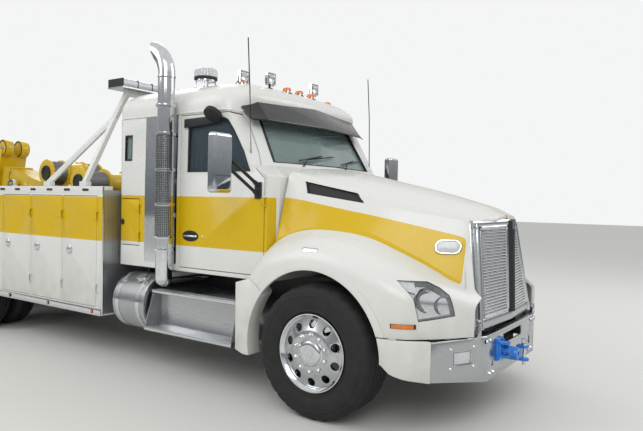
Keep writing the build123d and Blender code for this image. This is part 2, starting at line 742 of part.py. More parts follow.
def tyre_profile(width):
    """Closed outline of (radius, across) corners of a tyre's section."""
    half = width / 2
    one_side = [(RIM_R - 8, 36 - half), (RIM_R + 102, -half), (TYRE_R - 30, 14 - half),
                (TYRE_R, 62 - half)]
    return one_side + [(radius, -across) for radius, across in reversed(one_side)]


def tyre(width, x, y):
    """Tyre of flat facets, one of them flat on the ground."""
    half_turn = math.pi / TYRE_SIDES
    profile = tyre_profile(width)
    faces = []

    def corner(radius, across, angle):
        reach = radius / math.cos(half_turn)
        return x + reach * math.cos(angle), y + across, TYRE_R + reach * math.sin(angle)

    for side in range(TYRE_SIDES):
        start = -math.pi / 2 - half_turn + 2 * half_turn * side
        end = start + 2 * half_turn
        for one, two in zip(profile, profile[1:] + profile[:1]):
            corners = [corner(*one, start), corner(*two, start), corner(*two, end),
                       corner(*one, end)]
            faces.append(Face(Wire.make_polygon(corners, close=True)))
    return Solid(Shell(faces))


HAND_HOLES = 10
HAND_HOLE_R = 33.0
HAND_HOLE_AT = 222.0


def hand_holes(x, y0, y1):
    """Round holes through a wheel's disc, on one circle."""
    tools = None
    for number in range(HAND_HOLES):
        angle = math.radians(90 + 360 / HAND_HOLES * number)
        hole = disc_y(x + HAND_HOLE_AT * math.cos(angle), TYRE_R + HAND_HOLE_AT * math.sin(angle),
                      y0, y1, HAND_HOLE_R)
        tools = hole if tools is None else tools + hole
    return tools


def barrel(width, x, y):
    """Rim under a tyre."""
    half = width / 2
    return ring_of([(RIM_BORE_R, -half), (RIM_R, -half), (RIM_R, half), (RIM_BORE_R, half)],
                   x, y, TYRE_R)


def build_wheels():
    fit = SPINDLE_R + SPINDLE_FIT
    dish = ring_of([(fit, -60), (HUB_R, -60), (HUB_R, -148), (RIM_BORE_R + 5, -120),
                    (RIM_BORE_R + 5, -136), (170, -172), (fit, -172)], 0, -FRONT_TYRE_Y, TYRE_R)
    cap = ring_of([(0, -130), (HUB_R - 5, -130), (HUB_R - 5, -180), (60, -198), (0, -198)],
                  0, -FRONT_TYRE_Y, TYRE_R)
    dish = dish - hand_holes(0, -FRONT_TYRE_Y - 200, -FRONT_TYRE_Y)
    wheel = tyre(FRONT_TYRE_W, 0, -FRONT_TYRE_Y) + barrel(FRONT_TYRE_W - 30, 0, -FRONT_TYRE_Y)
    wheel = wheel + dish + cap
    save("front_wheel_right", wheel)
    save("front_wheel_left", mirrored(wheel))

    mid = -(DUAL_OUTER_Y + DUAL_INNER_Y) / 2
    for number, x in enumerate(REAR_AXLES_X, start=1):
        wheel = None
        for y in (DUAL_OUTER_Y, DUAL_INNER_Y):
            one = tyre(DUAL_TYRE_W, x, -y) + barrel(DUAL_TYRE_W - 24, x, -y)
            wheel = one if wheel is None else wheel + one
        outer_disc = ring_of([(HUB_R - 5, -30), (RIM_BORE_R + 5, -110), (RIM_BORE_R + 5, -94),
                              (HUB_R - 5, -10)], x, mid, TYRE_R)
        outer_disc = outer_disc - hand_holes(x, mid - 200, mid)
        inner_disc = ring_of([(HUB_R - 5, 10), (RIM_BORE_R + 5, 94), (RIM_BORE_R + 5, 110),
                              (HUB_R - 5, 30)], x, mid, TYRE_R)
        hub = ring_of([(fit, -200), (HUB_R, -200), (HUB_R, 90), (fit, 90)], x, mid, TYRE_R)
        hub_cap = ring_of([(0, -275), (70, -275), (90, -255), (90, -200), (70, -200),
                           (70, -255), (0, -255)], x, mid, TYRE_R)
        wheel = wheel + outer_disc + inner_disc + hub + hub_cap
        save(f"rear_wheel_{number}_right", wheel)
        save(f"rear_wheel_{number}_left", mirrored(wheel))


# Fittings outside the cab

MIRROR_X = -780.0
MIRROR_T = 90.0
MIRROR_EDGE = 28.0
MIRROR_Y = (-1540.0, -1330.0)
MIRROR_Z = (1730.0, 2210.0)
MIRROR_FOOT_X = -690.0
LOOK_DOWN = (-1185.0, -1118.0, 2425.0)
LOOK_DOWN_R = 85.0


def build_mirrors():
    low, high = MIRROR_Z
    head = block(MIRROR_X - MIRROR_T / 2, MIRROR_X + MIRROR_T / 2, *MIRROR_Y, low, high)
    head = fillet(head.edges(), MIRROR_EDGE)
    foot_x = MIRROR_FOOT_X
    foot = block(foot_x - 25, foot_x + 25, -CAB_SIDE_Y - 14, -CAB_SIDE_Y, 1700, 1820)
    for rise in (0, 80):
        end = (MIRROR_X, MIRROR_Y[1] - 8, 1940 + rise)
        foot = foot + rod((foot_x, -CAB_SIDE_Y - 13, 1725 + rise), end, 13)
    x, y, z = LOOK_DOWN
    low_mirror = rod((x, y + 12, z + 14), (x, y - 12, z - 14), LOOK_DOWN_R)
    stalk = beam((x, -CAB_SIDE_Y + 7.3, z), (x, y, z), 60, 14)
    save("mirror_right", head + foot + low_mirror + stalk)
    save("mirror_left", mirrored(head + foot + low_mirror + stalk))


def stack_bend(radius):
    """Bend at the top of the stack, turning back over the cab."""
    ring = Face(Wire.make_circle(radius, Plane(origin=(STACK_X, STACK_Y, STACK_BEND_Z))))
    axis = Axis((STACK_X - STACK_BEND_R, STACK_Y, STACK_BEND_Z), (0, -1, 0))
    return revolve(ring, axis=axis, revolution_arc=85)


def build_stack():
    inner_r = STACK_R - STACK_WALL
    pipe = rod((STACK_X, STACK_Y, ELBOW_Z), (STACK_X, STACK_Y, STACK_BEND_Z), STACK_R)
    bore = rod((STACK_X, STACK_Y, STACK_BEND_Z - 60), (STACK_X, STACK_Y, STACK_BEND_Z), inner_r)
    mouth = side_prism([(STACK_X - 94, STACK_BEND_Z + 74), (STACK_X - 178, STACK_TOP),
                        (STACK_X - 178, STACK_TOP + 250), (STACK_X - 600, STACK_TOP + 250),
                        (STACK_X - 600, STACK_BEND_Z + 74)], STACK_Y - 200, STACK_Y + 200)
    bend = stack_bend(STACK_R) - mouth
    guard = rod((STACK_X, STACK_Y, GUARD_Z[0]), (STACK_X, STACK_Y, GUARD_Z[1]), GUARD_R)
    guard = guard - block(-2000, -1500, STACK_Y, STACK_Y + 200, 1000, 2500)
    clamp = rod((STACK_X, STACK_Y, 2515), (STACK_X, STACK_Y, 2550), STACK_R + 10)
    elbow = rod((STACK_X, STACK_Y, ELBOW_Z), (STACK_X, -RAIL_Y, ELBOW_Z), ELBOW_R)
    knee = Pos(STACK_X, STACK_Y, ELBOW_Z) * Sphere(STACK_R)
    grab = rod((GRAB_X, STACK_Y, GRAB_Z[0]), (GRAB_X, STACK_Y, GRAB_Z[1]), GRAB_R)
    for z in (GRAB_Z[0] + 30, GRAB_Z[1] - 30):
        grab = grab + rod((GRAB_X, STACK_Y, z), (STACK_X - 40, STACK_Y, z), GRAB_R - 3)
    stays = None
    for z in (1500, 1820):
        stay = block(STACK_X - 20, STACK_X + 20, STACK_Y + 40, -CAB_SIDE_Y, z, z + 40)
        stays = stay if stays is None else stays + stay
    rear, front = PANEL_X
    low, high = PANEL_Z
    zone = block(rear, front, -CAB_SIDE_Y - 50, -900, low, high)
    panel = (cab_space(-PANEL_T, CAB_BOTTOM) - cab_space(0, CAB_BOTTOM - 1)) & zone
    save("exhaust_stack", pipe + knee + bend + guard + clamp + elbow + stays + grab + panel
         - bore - stack_bend(inner_r))


TREAD_T = 30.0


def build_steps():
    top = block(STEP_REAR, STEP_FRONT, -STEP_TOP_Y, -STEP_RISER_Y + 10,
                STEP_TOP_Z - TREAD_T, STEP_TOP_Z)
    low = block(STEP_REAR, STEP_FRONT, -STEP_LOW_Y, -STEP_RISER_Y + 10,
                STEP_LOW_Z - TREAD_T, STEP_LOW_Z)
    riser = block(STEP_REAR, STEP_FRONT, -STEP_RISER_Y, -620, STEP_LOW_Z - TREAD_T, STEP_TOP_Z)
    shape = top + low + riser
    for x in (STEP_REAR, STEP_FRONT - 12):
        shape = shape + front_prism(
            [(-STEP_RISER_Y + 5, STEP_TOP_Z - TREAD_T), (-STEP_TOP_Y + 5, STEP_TOP_Z - TREAD_T),
             (-STEP_LOW_Y, STEP_LOW_Z), (-STEP_RISER_Y + 5, STEP_LOW_Z)], x, x + 12)
    for x in (STEP_REAR + 200, STEP_FRONT - 200):
        shape = shape + block(x - 30, x + 30, -640, -RAIL_Y, STEP_TOP_Z - 40, STEP_TOP_Z)
    save("cab_steps", both(shape))


def build_tanks():
    tank = rod((TANK_REAR, -TANK_Y, TANK_Z), (TANK_FRONT, -TANK_Y, TANK_Z), TANK_R)
    tank = fillet(tank.edges().filter_by(GeomType.CIRCLE), TANK_EDGE)
    straps = None
    for x in (TANK_REAR + 90, TANK_FRONT - 90):
        strap = rod((x - 25, -TANK_Y, TANK_Z), (x + 25, -TANK_Y, TANK_Z), TANK_R + 6)
        bracket = block(x - 25, x + 25, -640, -RAIL_Y, TANK_Z - 60, RAIL_TOP - RAIL_H + 60)
        straps = strap + bracket if straps is None else straps + strap + bracket
    save("fuel_tanks", both(tank + straps))


MARKER_Y = (0.0, 200.0, -200.0, 716.0, -716.0)
# x, y, z of the middle of each square work lamp
WORK_LAMPS = [(-1220, -700, 2830), (-1225, -300, 2885), (-1200, 400, 2890)]
WORK_LAMP_HALF = 58.0
BEACON = (-1714.0, -700.0)
BEACON_R = 115.0
BEACON_Z = (2851.0, 2960.0)


def build_roof_lamps():
    shape = None
    for y in MARKER_Y:
        x = -1090 if abs(y) < 300 else -1235
        lamp = block(x - 70, x + 60, y - 42, y + 42, 2730, 2802)
        shape = lamp if shape is None else shape + lamp
    for x, y, z in WORK_LAMPS:
        half = WORK_LAMP_HALF
        shape = shape + block(x - 35, x + 30, y - half, y + half, z - half, z + half)
        shape = shape + block(x - 15, x + 5, y - 20, y + 20, 2700, z)
    x, y = BEACON
    low, high = BEACON_Z
    shape = shape + rod((x, y, low), (x, y, high), BEACON_R)
    for side in (-80, 80):
        shape = shape + block(x - 60, x + 60, y + side - 8, y + side + 8, 2700, low + 5)
    save("roof_lamps", shape - stacked(ROOF_LEVELS, 0))


# Wrecker body

def wheel_opening():
    """Outline of the opening over the tandem wheels."""
    return [
        (WHEEL_OPENING_FRONT, 300), (WHEEL_OPENING_FRONT, WHEEL_OPENING_TOP - 260),
        (WHEEL_OPENING_FRONT - 200, WHEEL_OPENING_TOP),
        (WHEEL_OPENING_REAR + 200, WHEEL_OPENING_TOP),
        (WHEEL_OPENING_REAR, WHEEL_OPENING_TOP - 260), (WHEEL_OPENING_REAR, 300),
    ]


def bay_ends(number):
    """Rear and front x of one tool bay."""
    front = BAY_FRONT - number * BAY_PITCH
    return front - BAY_W, front


def build_body():
    side = block(BODY_REAR, BODY_FRONT, -BODY_SIDE_Y, -BODY_INNER_Y, BODY_BOTTOM, BODY_TOP)
    side = side - side_prism(wheel_opening(), -1400, -500)
    hollow = block(BODY_REAR + BODY_WALL, WHEEL_OPENING_FRONT - 60, -BODY_SIDE_Y + BODY_WALL,
                   -BODY_INNER_Y - BODY_WALL, WHEEL_OPENING_TOP + BODY_WALL,
                   BODY_TOP - BODY_WALL)
    side = side - hollow
    for number in range(BAY_COUNT):
        rear, front = bay_ends(number)
        bay = block(rear, front, -1400, -BODY_INNER_Y - BODY_WALL, BAY_BOTTOM, BAY_TOP)
        knuckles, pins = hinge_leaves(front - 3, BODY_SIDE_Y, (720, 1460))
        side = side - bay + pins
        door = block(rear + 6, front - 6, -BODY_SIDE_Y, -BODY_SIDE_Y + TOOL_DOOR_T,
                     BAY_BOTTOM + 6, BAY_TOP - 6) + knuckles
        latch = disc_y(rear + 130, 1120, -BODY_SIDE_Y - 8, -BODY_SIDE_Y + 2, 45)
        door = door + latch
        save(f"tool_door_{number + 1}_right", door)
        save(f"tool_door_{number + 1}_left", mirrored(door))
    save("body_right", side)
    save("body_left", mirrored(side))

    deck = block(BODY_REAR, BODY_FRONT, -BODY_INNER_Y, BODY_INNER_Y, DECK_Z - DECK_T, DECK_Z)
    front = block(BODY_FRONT - 30, BODY_FRONT, -BODY_INNER_Y, BODY_INNER_Y, DECK_Z, BODY_TOP)
    risers = both(block(BODY_REAR, BODY_FRONT - 40, RAIL_Y - 60, RAIL_Y,
                        RAIL_TOP, DECK_Z - DECK_T))
    save("deck", deck + front + risers)

    post = block(BAY_FRONT, BODY_FRONT, -BODY_SIDE_Y, -BODY_SIDE_Y + 120, BODY_TOP, TOP_RAIL_Z)
    rail = block(BODY_REAR, BAY_FRONT, -BODY_SIDE_Y, -BODY_SIDE_Y + 60, BODY_TOP, TOP_RAIL_Z)
    save("top_rails", both(post + rail))
    rub = block(WHEEL_OPENING_FRONT, BODY_FRONT, -BODY_SIDE_Y - 12, -BODY_SIDE_Y, 475, 546)
    save("rub_rails", both(rub))


def build_pylon():
    top_x = -2800
    top_z = 2800
    rail_y = -BODY_SIDE_Y + 30
    foot = block(-3680, -3560, rail_y - 30, rail_y + 30, TOP_RAIL_Z, TOP_RAIL_Z + 50)
    foot = foot + block(-3010, -2890, rail_y - 30, rail_y + 30, TOP_RAIL_Z, TOP_RAIL_Z + 50)
    post = beam((-3620, rail_y, TOP_RAIL_Z + 40), (-3000, -800, 2550), 50, 50)
    upper = beam((-3000, -800, 2550), (top_x, -800, top_z), 50, 50)
    front = beam((-2950, rail_y, TOP_RAIL_Z + 40), (-3000, -800, 2550), 50, 50)
    cross = block(top_x - 30, top_x + 30, -825, 825, top_z - 30, top_z + 30)
    save("light_pylon", both(foot + post + upper + front) + cross)
    bar = block(top_x - 130, top_x + 130, -950, 950, top_z + 30, top_z + 130)
    save("light_bar", bar)


BOARD_T = 60.0
REAR_LAMP_Y = (910.0, 1005.0, 1100.0)
REAR_LAMP_Z = (880.0, 980.0)
REAR_LAMP_W = 86.0
REAR_LAMP_T = 28.0


def build_tailboard():
    board_x = BODY_REAR - BOARD_T
    board = block(board_x, BODY_REAR, RAIL_Y + 28, 1200, 620, DECK_Z)
    leg = block(board_x - 120, board_x, 700, 860, 420, DECK_Z)
    pad = block(board_x - 160, board_x, 660, 900, 380, 420)
    save("tailboard", both(board + leg + pad))
    lamps = None
    for y in REAR_LAMP_Y:
        lamp = block(board_x - REAR_LAMP_T, board_x, y, y + REAR_LAMP_W, *REAR_LAMP_Z)
        lamps = lamp if lamps is None else lamps + lamp
    save("rear_lamps", both(lamps))


# Boom, winches and lift cylinders

def along_boom(distance, up=0.0):
    """Point (x, z) at a distance along the boom's axis and up from it."""
    angle = math.radians(BOOM_REST)
    x = BOOM_PIN_X - distance * math.cos(angle) + up * math.sin(angle)
    z = BOOM_PIN_Z + distance * math.sin(angle) + up * math.cos(angle)
    return x, z


def boom_box(start, end, low, high, half_w):
    """Box along the boom's axis between two distances and two heights."""
    outline = [along_boom(start, low), along_boom(end, low), along_boom(end, high),
               along_boom(start, high)]
    return side_prism(outline, -half_w, half_w)


EAR_T = 30.0
WINCH_X = -4100.0
WINCH_Z = 1860.0
DRUM_R = 150.0
FLANGE_R = 182.0
EAR_Y = BOOM_W / 2 + 6


def build_boom():
    # Turret plates that carry the boom's pin, and the front winch
    plate = side_prism([(BOOM_PIN_X + 320, DECK_Z), (BOOM_PIN_X + 160, BOOM_PIN_Z + 100),
                        (BOOM_PIN_X - 90, BOOM_PIN_Z + 100), (BOOM_PIN_X - 260, DECK_Z)],
                       EAR_Y, EAR_Y + EAR_T)
    pin = disc_y(BOOM_PIN_X, BOOM_PIN_Z, -EAR_Y - EAR_T, EAR_Y + EAR_T, BOOM_PIN_R)
    foot = side_prism([(LIFT_PIN_X + 80, DECK_Z), (LIFT_PIN_X + 42, LIFT_PIN_Z + 42),
                       (LIFT_PIN_X - 42, LIFT_PIN_Z + 42), (LIFT_PIN_X - 80, DECK_Z)],
                      LIFT_Y + 40, LIFT_Y + 60)
    lift_pin = disc_y(LIFT_PIN_X, LIFT_PIN_Z, LIFT_Y - 40, LIFT_Y + 60, LIFT_PIN_R)
    winch_bed = block(-4220, -3960, -420, 420, DECK_Z, 1740)
    winch = disc_y(WINCH_X, WINCH_Z, -520, 520, DRUM_R - 20)
    for y in (-520, -170, 155, 505):
        winch = winch + disc_y(WINCH_X, WINCH_Z, y, y + 15, FLANGE_R)
    save("boom_turret", both(plate + foot + lift_pin) + pin + winch_bed + winch)

    half = BOOM_H / 2
    box = boom_box(-120, BOOM_LEN, -half, half, BOOM_W / 2)
    box = box - boom_box(60, BOOM_LEN + 1, -half + BOOM_WALL, half - BOOM_WALL,
                         BOOM_W / 2 - BOOM_WALL)
    box = box - disc_y(BOOM_PIN_X, BOOM_PIN_Z, -300, 300, BOOM_PIN_R + SPINDLE_FIT)
    eye_x, eye_z = along_boom(LIFT_EYE_AT)
    stub = both(disc_y(eye_x, eye_z, BOOM_W / 2 - BOOM_WALL, LIFT_Y + 34, LIFT_PIN_R))
    saddle = boom_box(450, 880, half, half + 60, 150)
    drum_x, drum_z = along_boom(DRUM_AT, half + 225)
    drum = disc_y(drum_x, drum_z, -380, 380, DRUM_R)
    for y in (-380, -165, 150, 365):
        drum = drum + disc_y(drum_x, drum_z, y, y + 15, FLANGE_R)
    cheeks = boom_box(DRUM_AT - 150, DRUM_AT + 150, half, half + 380, 150)
    cheeks = cheeks - boom_box(DRUM_AT - 160, DRUM_AT + 160, half, half + 400, 120)
    save("boom", box + stub + saddle + drum + cheeks)

    inner = boom_box(BOOM_LEN - INNER_IN, BOOM_LEN + INNER_OUT, -INNER_H / 2, INNER_H / 2,
                     INNER_W / 2)
    inner = inner - boom_box(BOOM_LEN - INNER_IN - 1, BOOM_LEN, -INNER_H / 2 + 16,
                             INNER_H / 2 - 16, INNER_W / 2 - 16)
    pad_h = half - BOOM_WALL - PAD_FIT
    pad_w = BOOM_W / 2 - BOOM_WALL - PAD_FIT
    pads = boom_box(BOOM_LEN - INNER_IN, BOOM_LEN - INNER_IN + 80, -pad_h, pad_h, pad_w)
    inner = inner + pads
    tip = BOOM_LEN + INNER_OUT
    head = boom_box(tip - 20, tip + 60, -INNER_H / 2 - 60, INNER_H / 2 + 250, 200)
    sheave_x, sheave_z = along_boom(tip + 10, INNER_H / 2 + 275)
    sheaves = both(disc_y(sheave_x, sheave_z, 60, 180, 130))
    save("boom_inner", inner + head + sheaves)

    reach = lift_length()
    angle = lift_angle()
    barrel_end = 900.0

    def on_lift(distance):
        return LIFT_PIN_X - distance * math.cos(angle), LIFT_PIN_Z + distance * math.sin(angle)

    def lift_bar(start, end, radius):
        x0, z0 = on_lift(start)
        x1, z1 = on_lift(end)
        return rod((x0, LIFT_Y, z0), (x1, LIFT_Y, z1), radius)

    barrel = lift_bar(40, 110, 30) + lift_bar(105, barrel_end, BARREL_R)
    barrel = barrel + disc_y(LIFT_PIN_X, LIFT_PIN_Z, LIFT_Y - 32, LIFT_Y + 32, 70)
    barrel = barrel - lift_bar(150, barrel_end + 1, ROD_R + ROD_FIT)
    barrel = barrel - disc_y(LIFT_PIN_X, LIFT_PIN_Z, 0, 400, LIFT_PIN_R + SPINDLE_FIT)
    save("lift_barrels", both(barrel))
    eye_x, eye_z = on_lift(reach)
    piston = lift_bar(420, reach - 60, ROD_R) + disc_y(eye_x, eye_z, LIFT_Y - 30, LIFT_Y + 30, 78)
    piston = piston - disc_y(eye_x, eye_z, 0, 400, LIFT_PIN_R + LIFT_EYE_PLAY)
    save("lift_rods", both(piston))


def lift_length():
    eye_x, eye_z = along_boom(LIFT_EYE_AT)
    return math.hypot(eye_x - LIFT_PIN_X, eye_z - LIFT_PIN_Z)


def lift_angle():
    eye_x, eye_z = along_boom(LIFT_EYE_AT)
    return math.atan2(eye_z - LIFT_PIN_Z, LIFT_PIN_X - eye_x)


def build_underlift():
    half = UNDER_ARM_W / 2
    mast = both(block(RAIL_REAR - 40, FOLD_PIN_X - 50, half + 8, half + 38, 480, 760))
    mast = mast + disc_y(FOLD_PIN_X, FOLD_PIN_Z, -half - 38, half + 38, FOLD_PIN_R)
    mast = mast + block(RAIL_REAR - 60, RAIL_REAR, -RAIL_Y, RAIL_Y, 480, DECK_Z)
    save("underlift_mast", mast)

    arm = block(FOLD_PIN_X - 70, FOLD_PIN_X + 70, -half, half, FOLD_PIN_Z - 70, UNDER_ARM_TOP)
    arm = arm - block(FOLD_PIN_X - 55, FOLD_PIN_X + 55, -half + 20, half - 20,
                      FOLD_PIN_Z + 120, UNDER_ARM_TOP + 1)
    arm = arm - disc_y(FOLD_PIN_X, FOLD_PIN_Z, -300, 300, FOLD_PIN_R + SPINDLE_FIT)
    save("underlift_arm", arm)

    stage_x = 55 - PAD_FIT
    stage_y = half - 20 - PAD_FIT
    stage = block(FOLD_PIN_X - stage_x, FOLD_PIN_X + stage_x, -stage_y, stage_y,
                  FOLD_PIN_Z + 220, CROSS_Z - 40)
    stage = stage + block(FOLD_PIN_X - 90, FOLD_PIN_X - 50, -60, 60, CROSS_Z - 70, CROSS_Z + 70) \
        + block(FOLD_PIN_X - 52, FOLD_PIN_X + 50, -60, 60, CROSS_Z - 60, CROSS_Z + 70)
    pin = rod((FOLD_PIN_X - 140, 0, CROSS_Z), (FOLD_PIN_X - 60, 0, CROSS_Z), 40)
    save("underlift_stage", stage + pin)

    cross = block(CROSS_REAR, FOLD_PIN_X - 92, -CROSS_HALF, CROSS_HALF, CROSS_Z - 48,
                  CROSS_Z + 48)
    cross = cross - rod((FOLD_PIN_X - 200, 0, CROSS_Z), (FOLD_PIN_X, 0, CROSS_Z), 40.05)
    receivers = both(block(CROSS_REAR, FOLD_PIN_X - 92, CROSS_HALF - 120, CROSS_HALF,
                           CROSS_Z - 70, CROSS_Z + 110))
    bore = both(rod((CROSS_REAR - 5, CROSS_HALF - 60, CROSS_Z + 78),
                    (FOLD_PIN_X, CROSS_HALF - 60, CROSS_Z + 78), 22))
    save("underlift_crossbar", cross + receivers - bore)


build_frame()
build_front_axle()
build_rear_axles()
build_wheels()
build_cab()
build_visor()
build_interior()
build_hood()
build_grille()
build_bumper()
build_fender_trim()
build_tow_hitch()
build_mirrors()
build_stack()
build_steps()
build_tanks()
build_roof_lamps()
build_body()
build_pylon()
build_tailboard()
build_boom()
build_underlift()
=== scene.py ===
import json
import math
import bpy
import bmesh
from mathutils import Matrix, Vector
from mathutils.bvhtree import BVHTree

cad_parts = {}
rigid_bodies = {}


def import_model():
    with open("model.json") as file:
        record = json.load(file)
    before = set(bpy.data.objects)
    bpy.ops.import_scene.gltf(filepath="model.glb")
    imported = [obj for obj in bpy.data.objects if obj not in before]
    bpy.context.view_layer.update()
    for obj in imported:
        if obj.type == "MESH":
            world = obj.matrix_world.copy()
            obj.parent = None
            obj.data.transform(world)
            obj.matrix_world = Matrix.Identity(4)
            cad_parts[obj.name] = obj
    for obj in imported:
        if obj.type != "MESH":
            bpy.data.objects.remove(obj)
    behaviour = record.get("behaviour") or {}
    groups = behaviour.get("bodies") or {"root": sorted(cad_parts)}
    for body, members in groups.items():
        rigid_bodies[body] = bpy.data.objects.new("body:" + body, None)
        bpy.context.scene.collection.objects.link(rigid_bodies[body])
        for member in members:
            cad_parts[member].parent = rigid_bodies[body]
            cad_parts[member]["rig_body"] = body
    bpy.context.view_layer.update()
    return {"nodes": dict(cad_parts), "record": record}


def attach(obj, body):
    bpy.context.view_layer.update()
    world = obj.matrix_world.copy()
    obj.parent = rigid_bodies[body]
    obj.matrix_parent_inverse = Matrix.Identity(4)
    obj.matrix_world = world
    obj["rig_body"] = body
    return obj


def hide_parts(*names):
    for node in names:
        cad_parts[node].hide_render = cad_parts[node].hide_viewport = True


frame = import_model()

# View, floor and light
# A pale studio floor, and a camera where the photograph was taken from:
# beside the right front wheel at standing height.
scene = bpy.context.scene
scene.view_settings.view_transform = "Standard"

AXLE_X = 3.2
CAMERA_TURN = math.radians(34.88)
CAMERA_DOWN = math.radians(1.28)
CAMERA_ROLL = math.radians(1.19)
PHOTO_W = 643.0
FOCAL_PX = 602.5
SENSOR_MM = 36.0


def truck(x, y, z):
    """Place whose x is counted from the front axle."""
    return Vector((x + AXLE_X, y, z))


def put(name, data):
    """Object of that data in the scene."""
    made = bpy.data.objects.new(name, data)
    scene.collection.objects.link(made)
    return made


lens = bpy.data.cameras.new("camera")
lens.sensor_width = SENSOR_MM
lens.lens = SENSOR_MM * FOCAL_PX / PHOTO_W
lens.clip_end = 200.0
scene.camera = put("camera", lens)
scene.camera.matrix_world = (Matrix.Translation(truck(2.658, -4.929, 1.673))
                             @ Matrix.Rotation(CAMERA_TURN, 4, "Z")
                             @ Matrix.Rotation(math.pi / 2 - CAMERA_DOWN, 4, "X")
                             @ Matrix.Rotation(CAMERA_ROLL, 4, "Z"))


def linear(code):
    """Linear colour of an sRGB hex value."""
    channels = [int(code[start:start + 2], 16) / 255 for start in (1, 3, 5)]
    return [c / 12.92 if c <= 0.04045 else ((c + 0.055) / 1.055) ** 2.4 for c in channels] + [1.0]


def add_node(tree, kind, inputs=(), out=0, **settings):
    """Output of a new node with its settings and its sockets' values or links."""
    node = tree.nodes.new("ShaderNode" + kind)
    for key, value in settings.items():
        setattr(node, key, value)
    for key, value in inputs.items() if isinstance(inputs, dict) else enumerate(inputs):
        if isinstance(value, bpy.types.NodeSocket):
            tree.links.new(value, node.inputs[key])
        else:
            node.inputs[key].default_value = value
    return node.outputs[out]


def new_finish(name, colour, roughness, metallic=0.0, coat=0.0):
    """A material whose even values sit on the shader's own sockets."""
    finish = bpy.data.materials.new(name)
    finish.use_nodes = True
    shader = finish.node_tree.nodes["Principled BSDF"]
    for socket, value in (("Base Color", linear(colour)), ("Roughness", roughness),
                          ("Metallic", metallic), ("Coat Weight", coat),
                          ("Coat Roughness", 0.06)):
        shader.inputs[socket].default_value = value
    return finish, finish.node_tree, shader


SKY_LOW = "#7C8388"
SKY_HIGH = "#FFFFFF"
SKY_STRENGTH = 0.80

world = bpy.data.worlds.new("studio")
scene.world = world
world.use_nodes = True
sky = world.node_tree
generated = add_node(sky, "TexCoord", out="Generated")
height = add_node(sky, "SeparateXYZ", (generated,), "Z")
rise = add_node(sky, "MapRange", (height, 0.0, 0.42))
shade = add_node(sky, "Mix", {0: rise, 6: linear(SKY_LOW), 7: linear(SKY_HIGH)}, 2,
                 data_type="RGBA")
seen = add_node(sky, "LightPath", out="Is Camera Ray")
plain = add_node(sky, "Mix", {0: seen, 6: shade, 7: linear("#F4F5F5")}, 2, data_type="RGBA")
strength = add_node(sky, "MapRange", {0: seen, 3: SKY_STRENGTH, 4: 1.0})
dome = sky.nodes["Background"]
sky.links.new(plain, dome.inputs["Color"])
sky.links.new(strength, dome.inputs["Strength"])

FLOOR_HALF = 60.0

floor_mesh = bpy.data.meshes.new("floor")
floor_mesh.from_pydata([(x * FLOOR_HALF, y * FLOOR_HALF, 0)
                        for x, y in ((-1, -1), (1, -1), (1, 1), (-1, 1))], [], [(0, 1, 2, 3)])
floor = put("floor", floor_mesh)
# sealed concrete, pale and even, with hardly any gloss
floor.data.materials.append(new_finish("pale_sealed_concrete", "#D2D2CF", 0.75)[0])

# where each soft lamp hangs, the size of its face, its power, and what it points at
LAMPS = [((7.5, -9.0, 7.5), 6.0, 430, (2.0, 0.0, 1.2)), ((-5.0, -9.0, 8.0), 7.0, 350, (-2, 0, 1)),
         ((9.0, 7.0, 7.0), 6.0, 270, (1.0, 0.0, 1.0)), ((-9.0, 6.0, 8.0), 6.0, 250, (-3, 0, 1))]
for number, (place, size, power, target) in enumerate(LAMPS):
    lamp_data = bpy.data.lights.new(f"soft_lamp_{number}", "AREA")
    lamp_data.energy = power
    lamp_data.size = size
    aim = (Vector(target) - Vector(place)).to_track_quat("-Z", "Y").to_matrix().to_4x4()
    put(f"soft_lamp_{number}", lamp_data).matrix_world = Matrix.Translation(place) @ aim


# Paint on the coachwork
# Steel and fibreglass panels in white two-pack enamel with a broad golden
# band along the sides, sprayed and clear-coated, dusty near the road.
WHITE = "#D9DAD6"
GOLD = "#CFAC00"
ROAD_DUST = "#8E8778"


def wired(finish, results):
    """Material whose shader takes each result on the socket of its name."""
    tree = finish.node_tree
    for socket, result in results.items():
        tree.links.new(result, tree.nodes["Principled BSDF"].inputs[socket])
    return finish


def coach_enamel(name, band_depth):
    """White enamel, gold where band_depth(tree, x, y, z) is above 0."""
    finish, tree, shader = new_finish(name, WHITE, 0.32, coat=0.15)
    shader.inputs["Specular IOR Level"].default_value = 0.35
    place = add_node(tree, "TexCoord", out="Object")
    x, y, z = add_node(tree, "SeparateXYZ", (place,)).node.outputs
    depth = band_depth(tree, x, add_node(tree, "Math", (y,), operation="ABSOLUTE"), z)
    inside = add_node(tree, "Math", (depth, 700.0, 0.5), operation="MULTIPLY_ADD")
    paint = add_node(tree, "Mix", {0: add_node(tree, "Clamp", (inside,)), 6: linear(WHITE),
                                   7: linear(GOLD)}, 2, data_type="RGBA")
    # road dust: thickest at the sill, patchy over about 120 mm
    patches = add_node(tree, "TexNoise", {"Vector": place, "Scale": 8.0, "Detail": 6.0})
    low = add_node(tree, "MapRange", (z, 0.35, 1.25, 0.55, 0.03))
    dusty = add_node(tree, "Math", (low, patches), operation="MULTIPLY")
    colour = add_node(tree, "Mix", {0: dusty, 6: paint, 7: linear(ROAD_DUST)}, 2,
                      data_type="RGBA")
    rough = add_node(tree, "MapRange", {0: dusty, 2: 0.4, 3: 0.26, 4: 0.6})
    # orange peel about 5 mm across, as sprayed paint dries
    peel = add_node(tree, "TexNoise", {"Vector": place, "Scale": 200.0, "Detail": 1.0})
    bump = add_node(tree, "Bump", {"Height": peel, "Strength": 0.015, "Distance": 0.001})
    return wired(finish, {"Base Color": colour, "Roughness": rough, "Normal": bump})


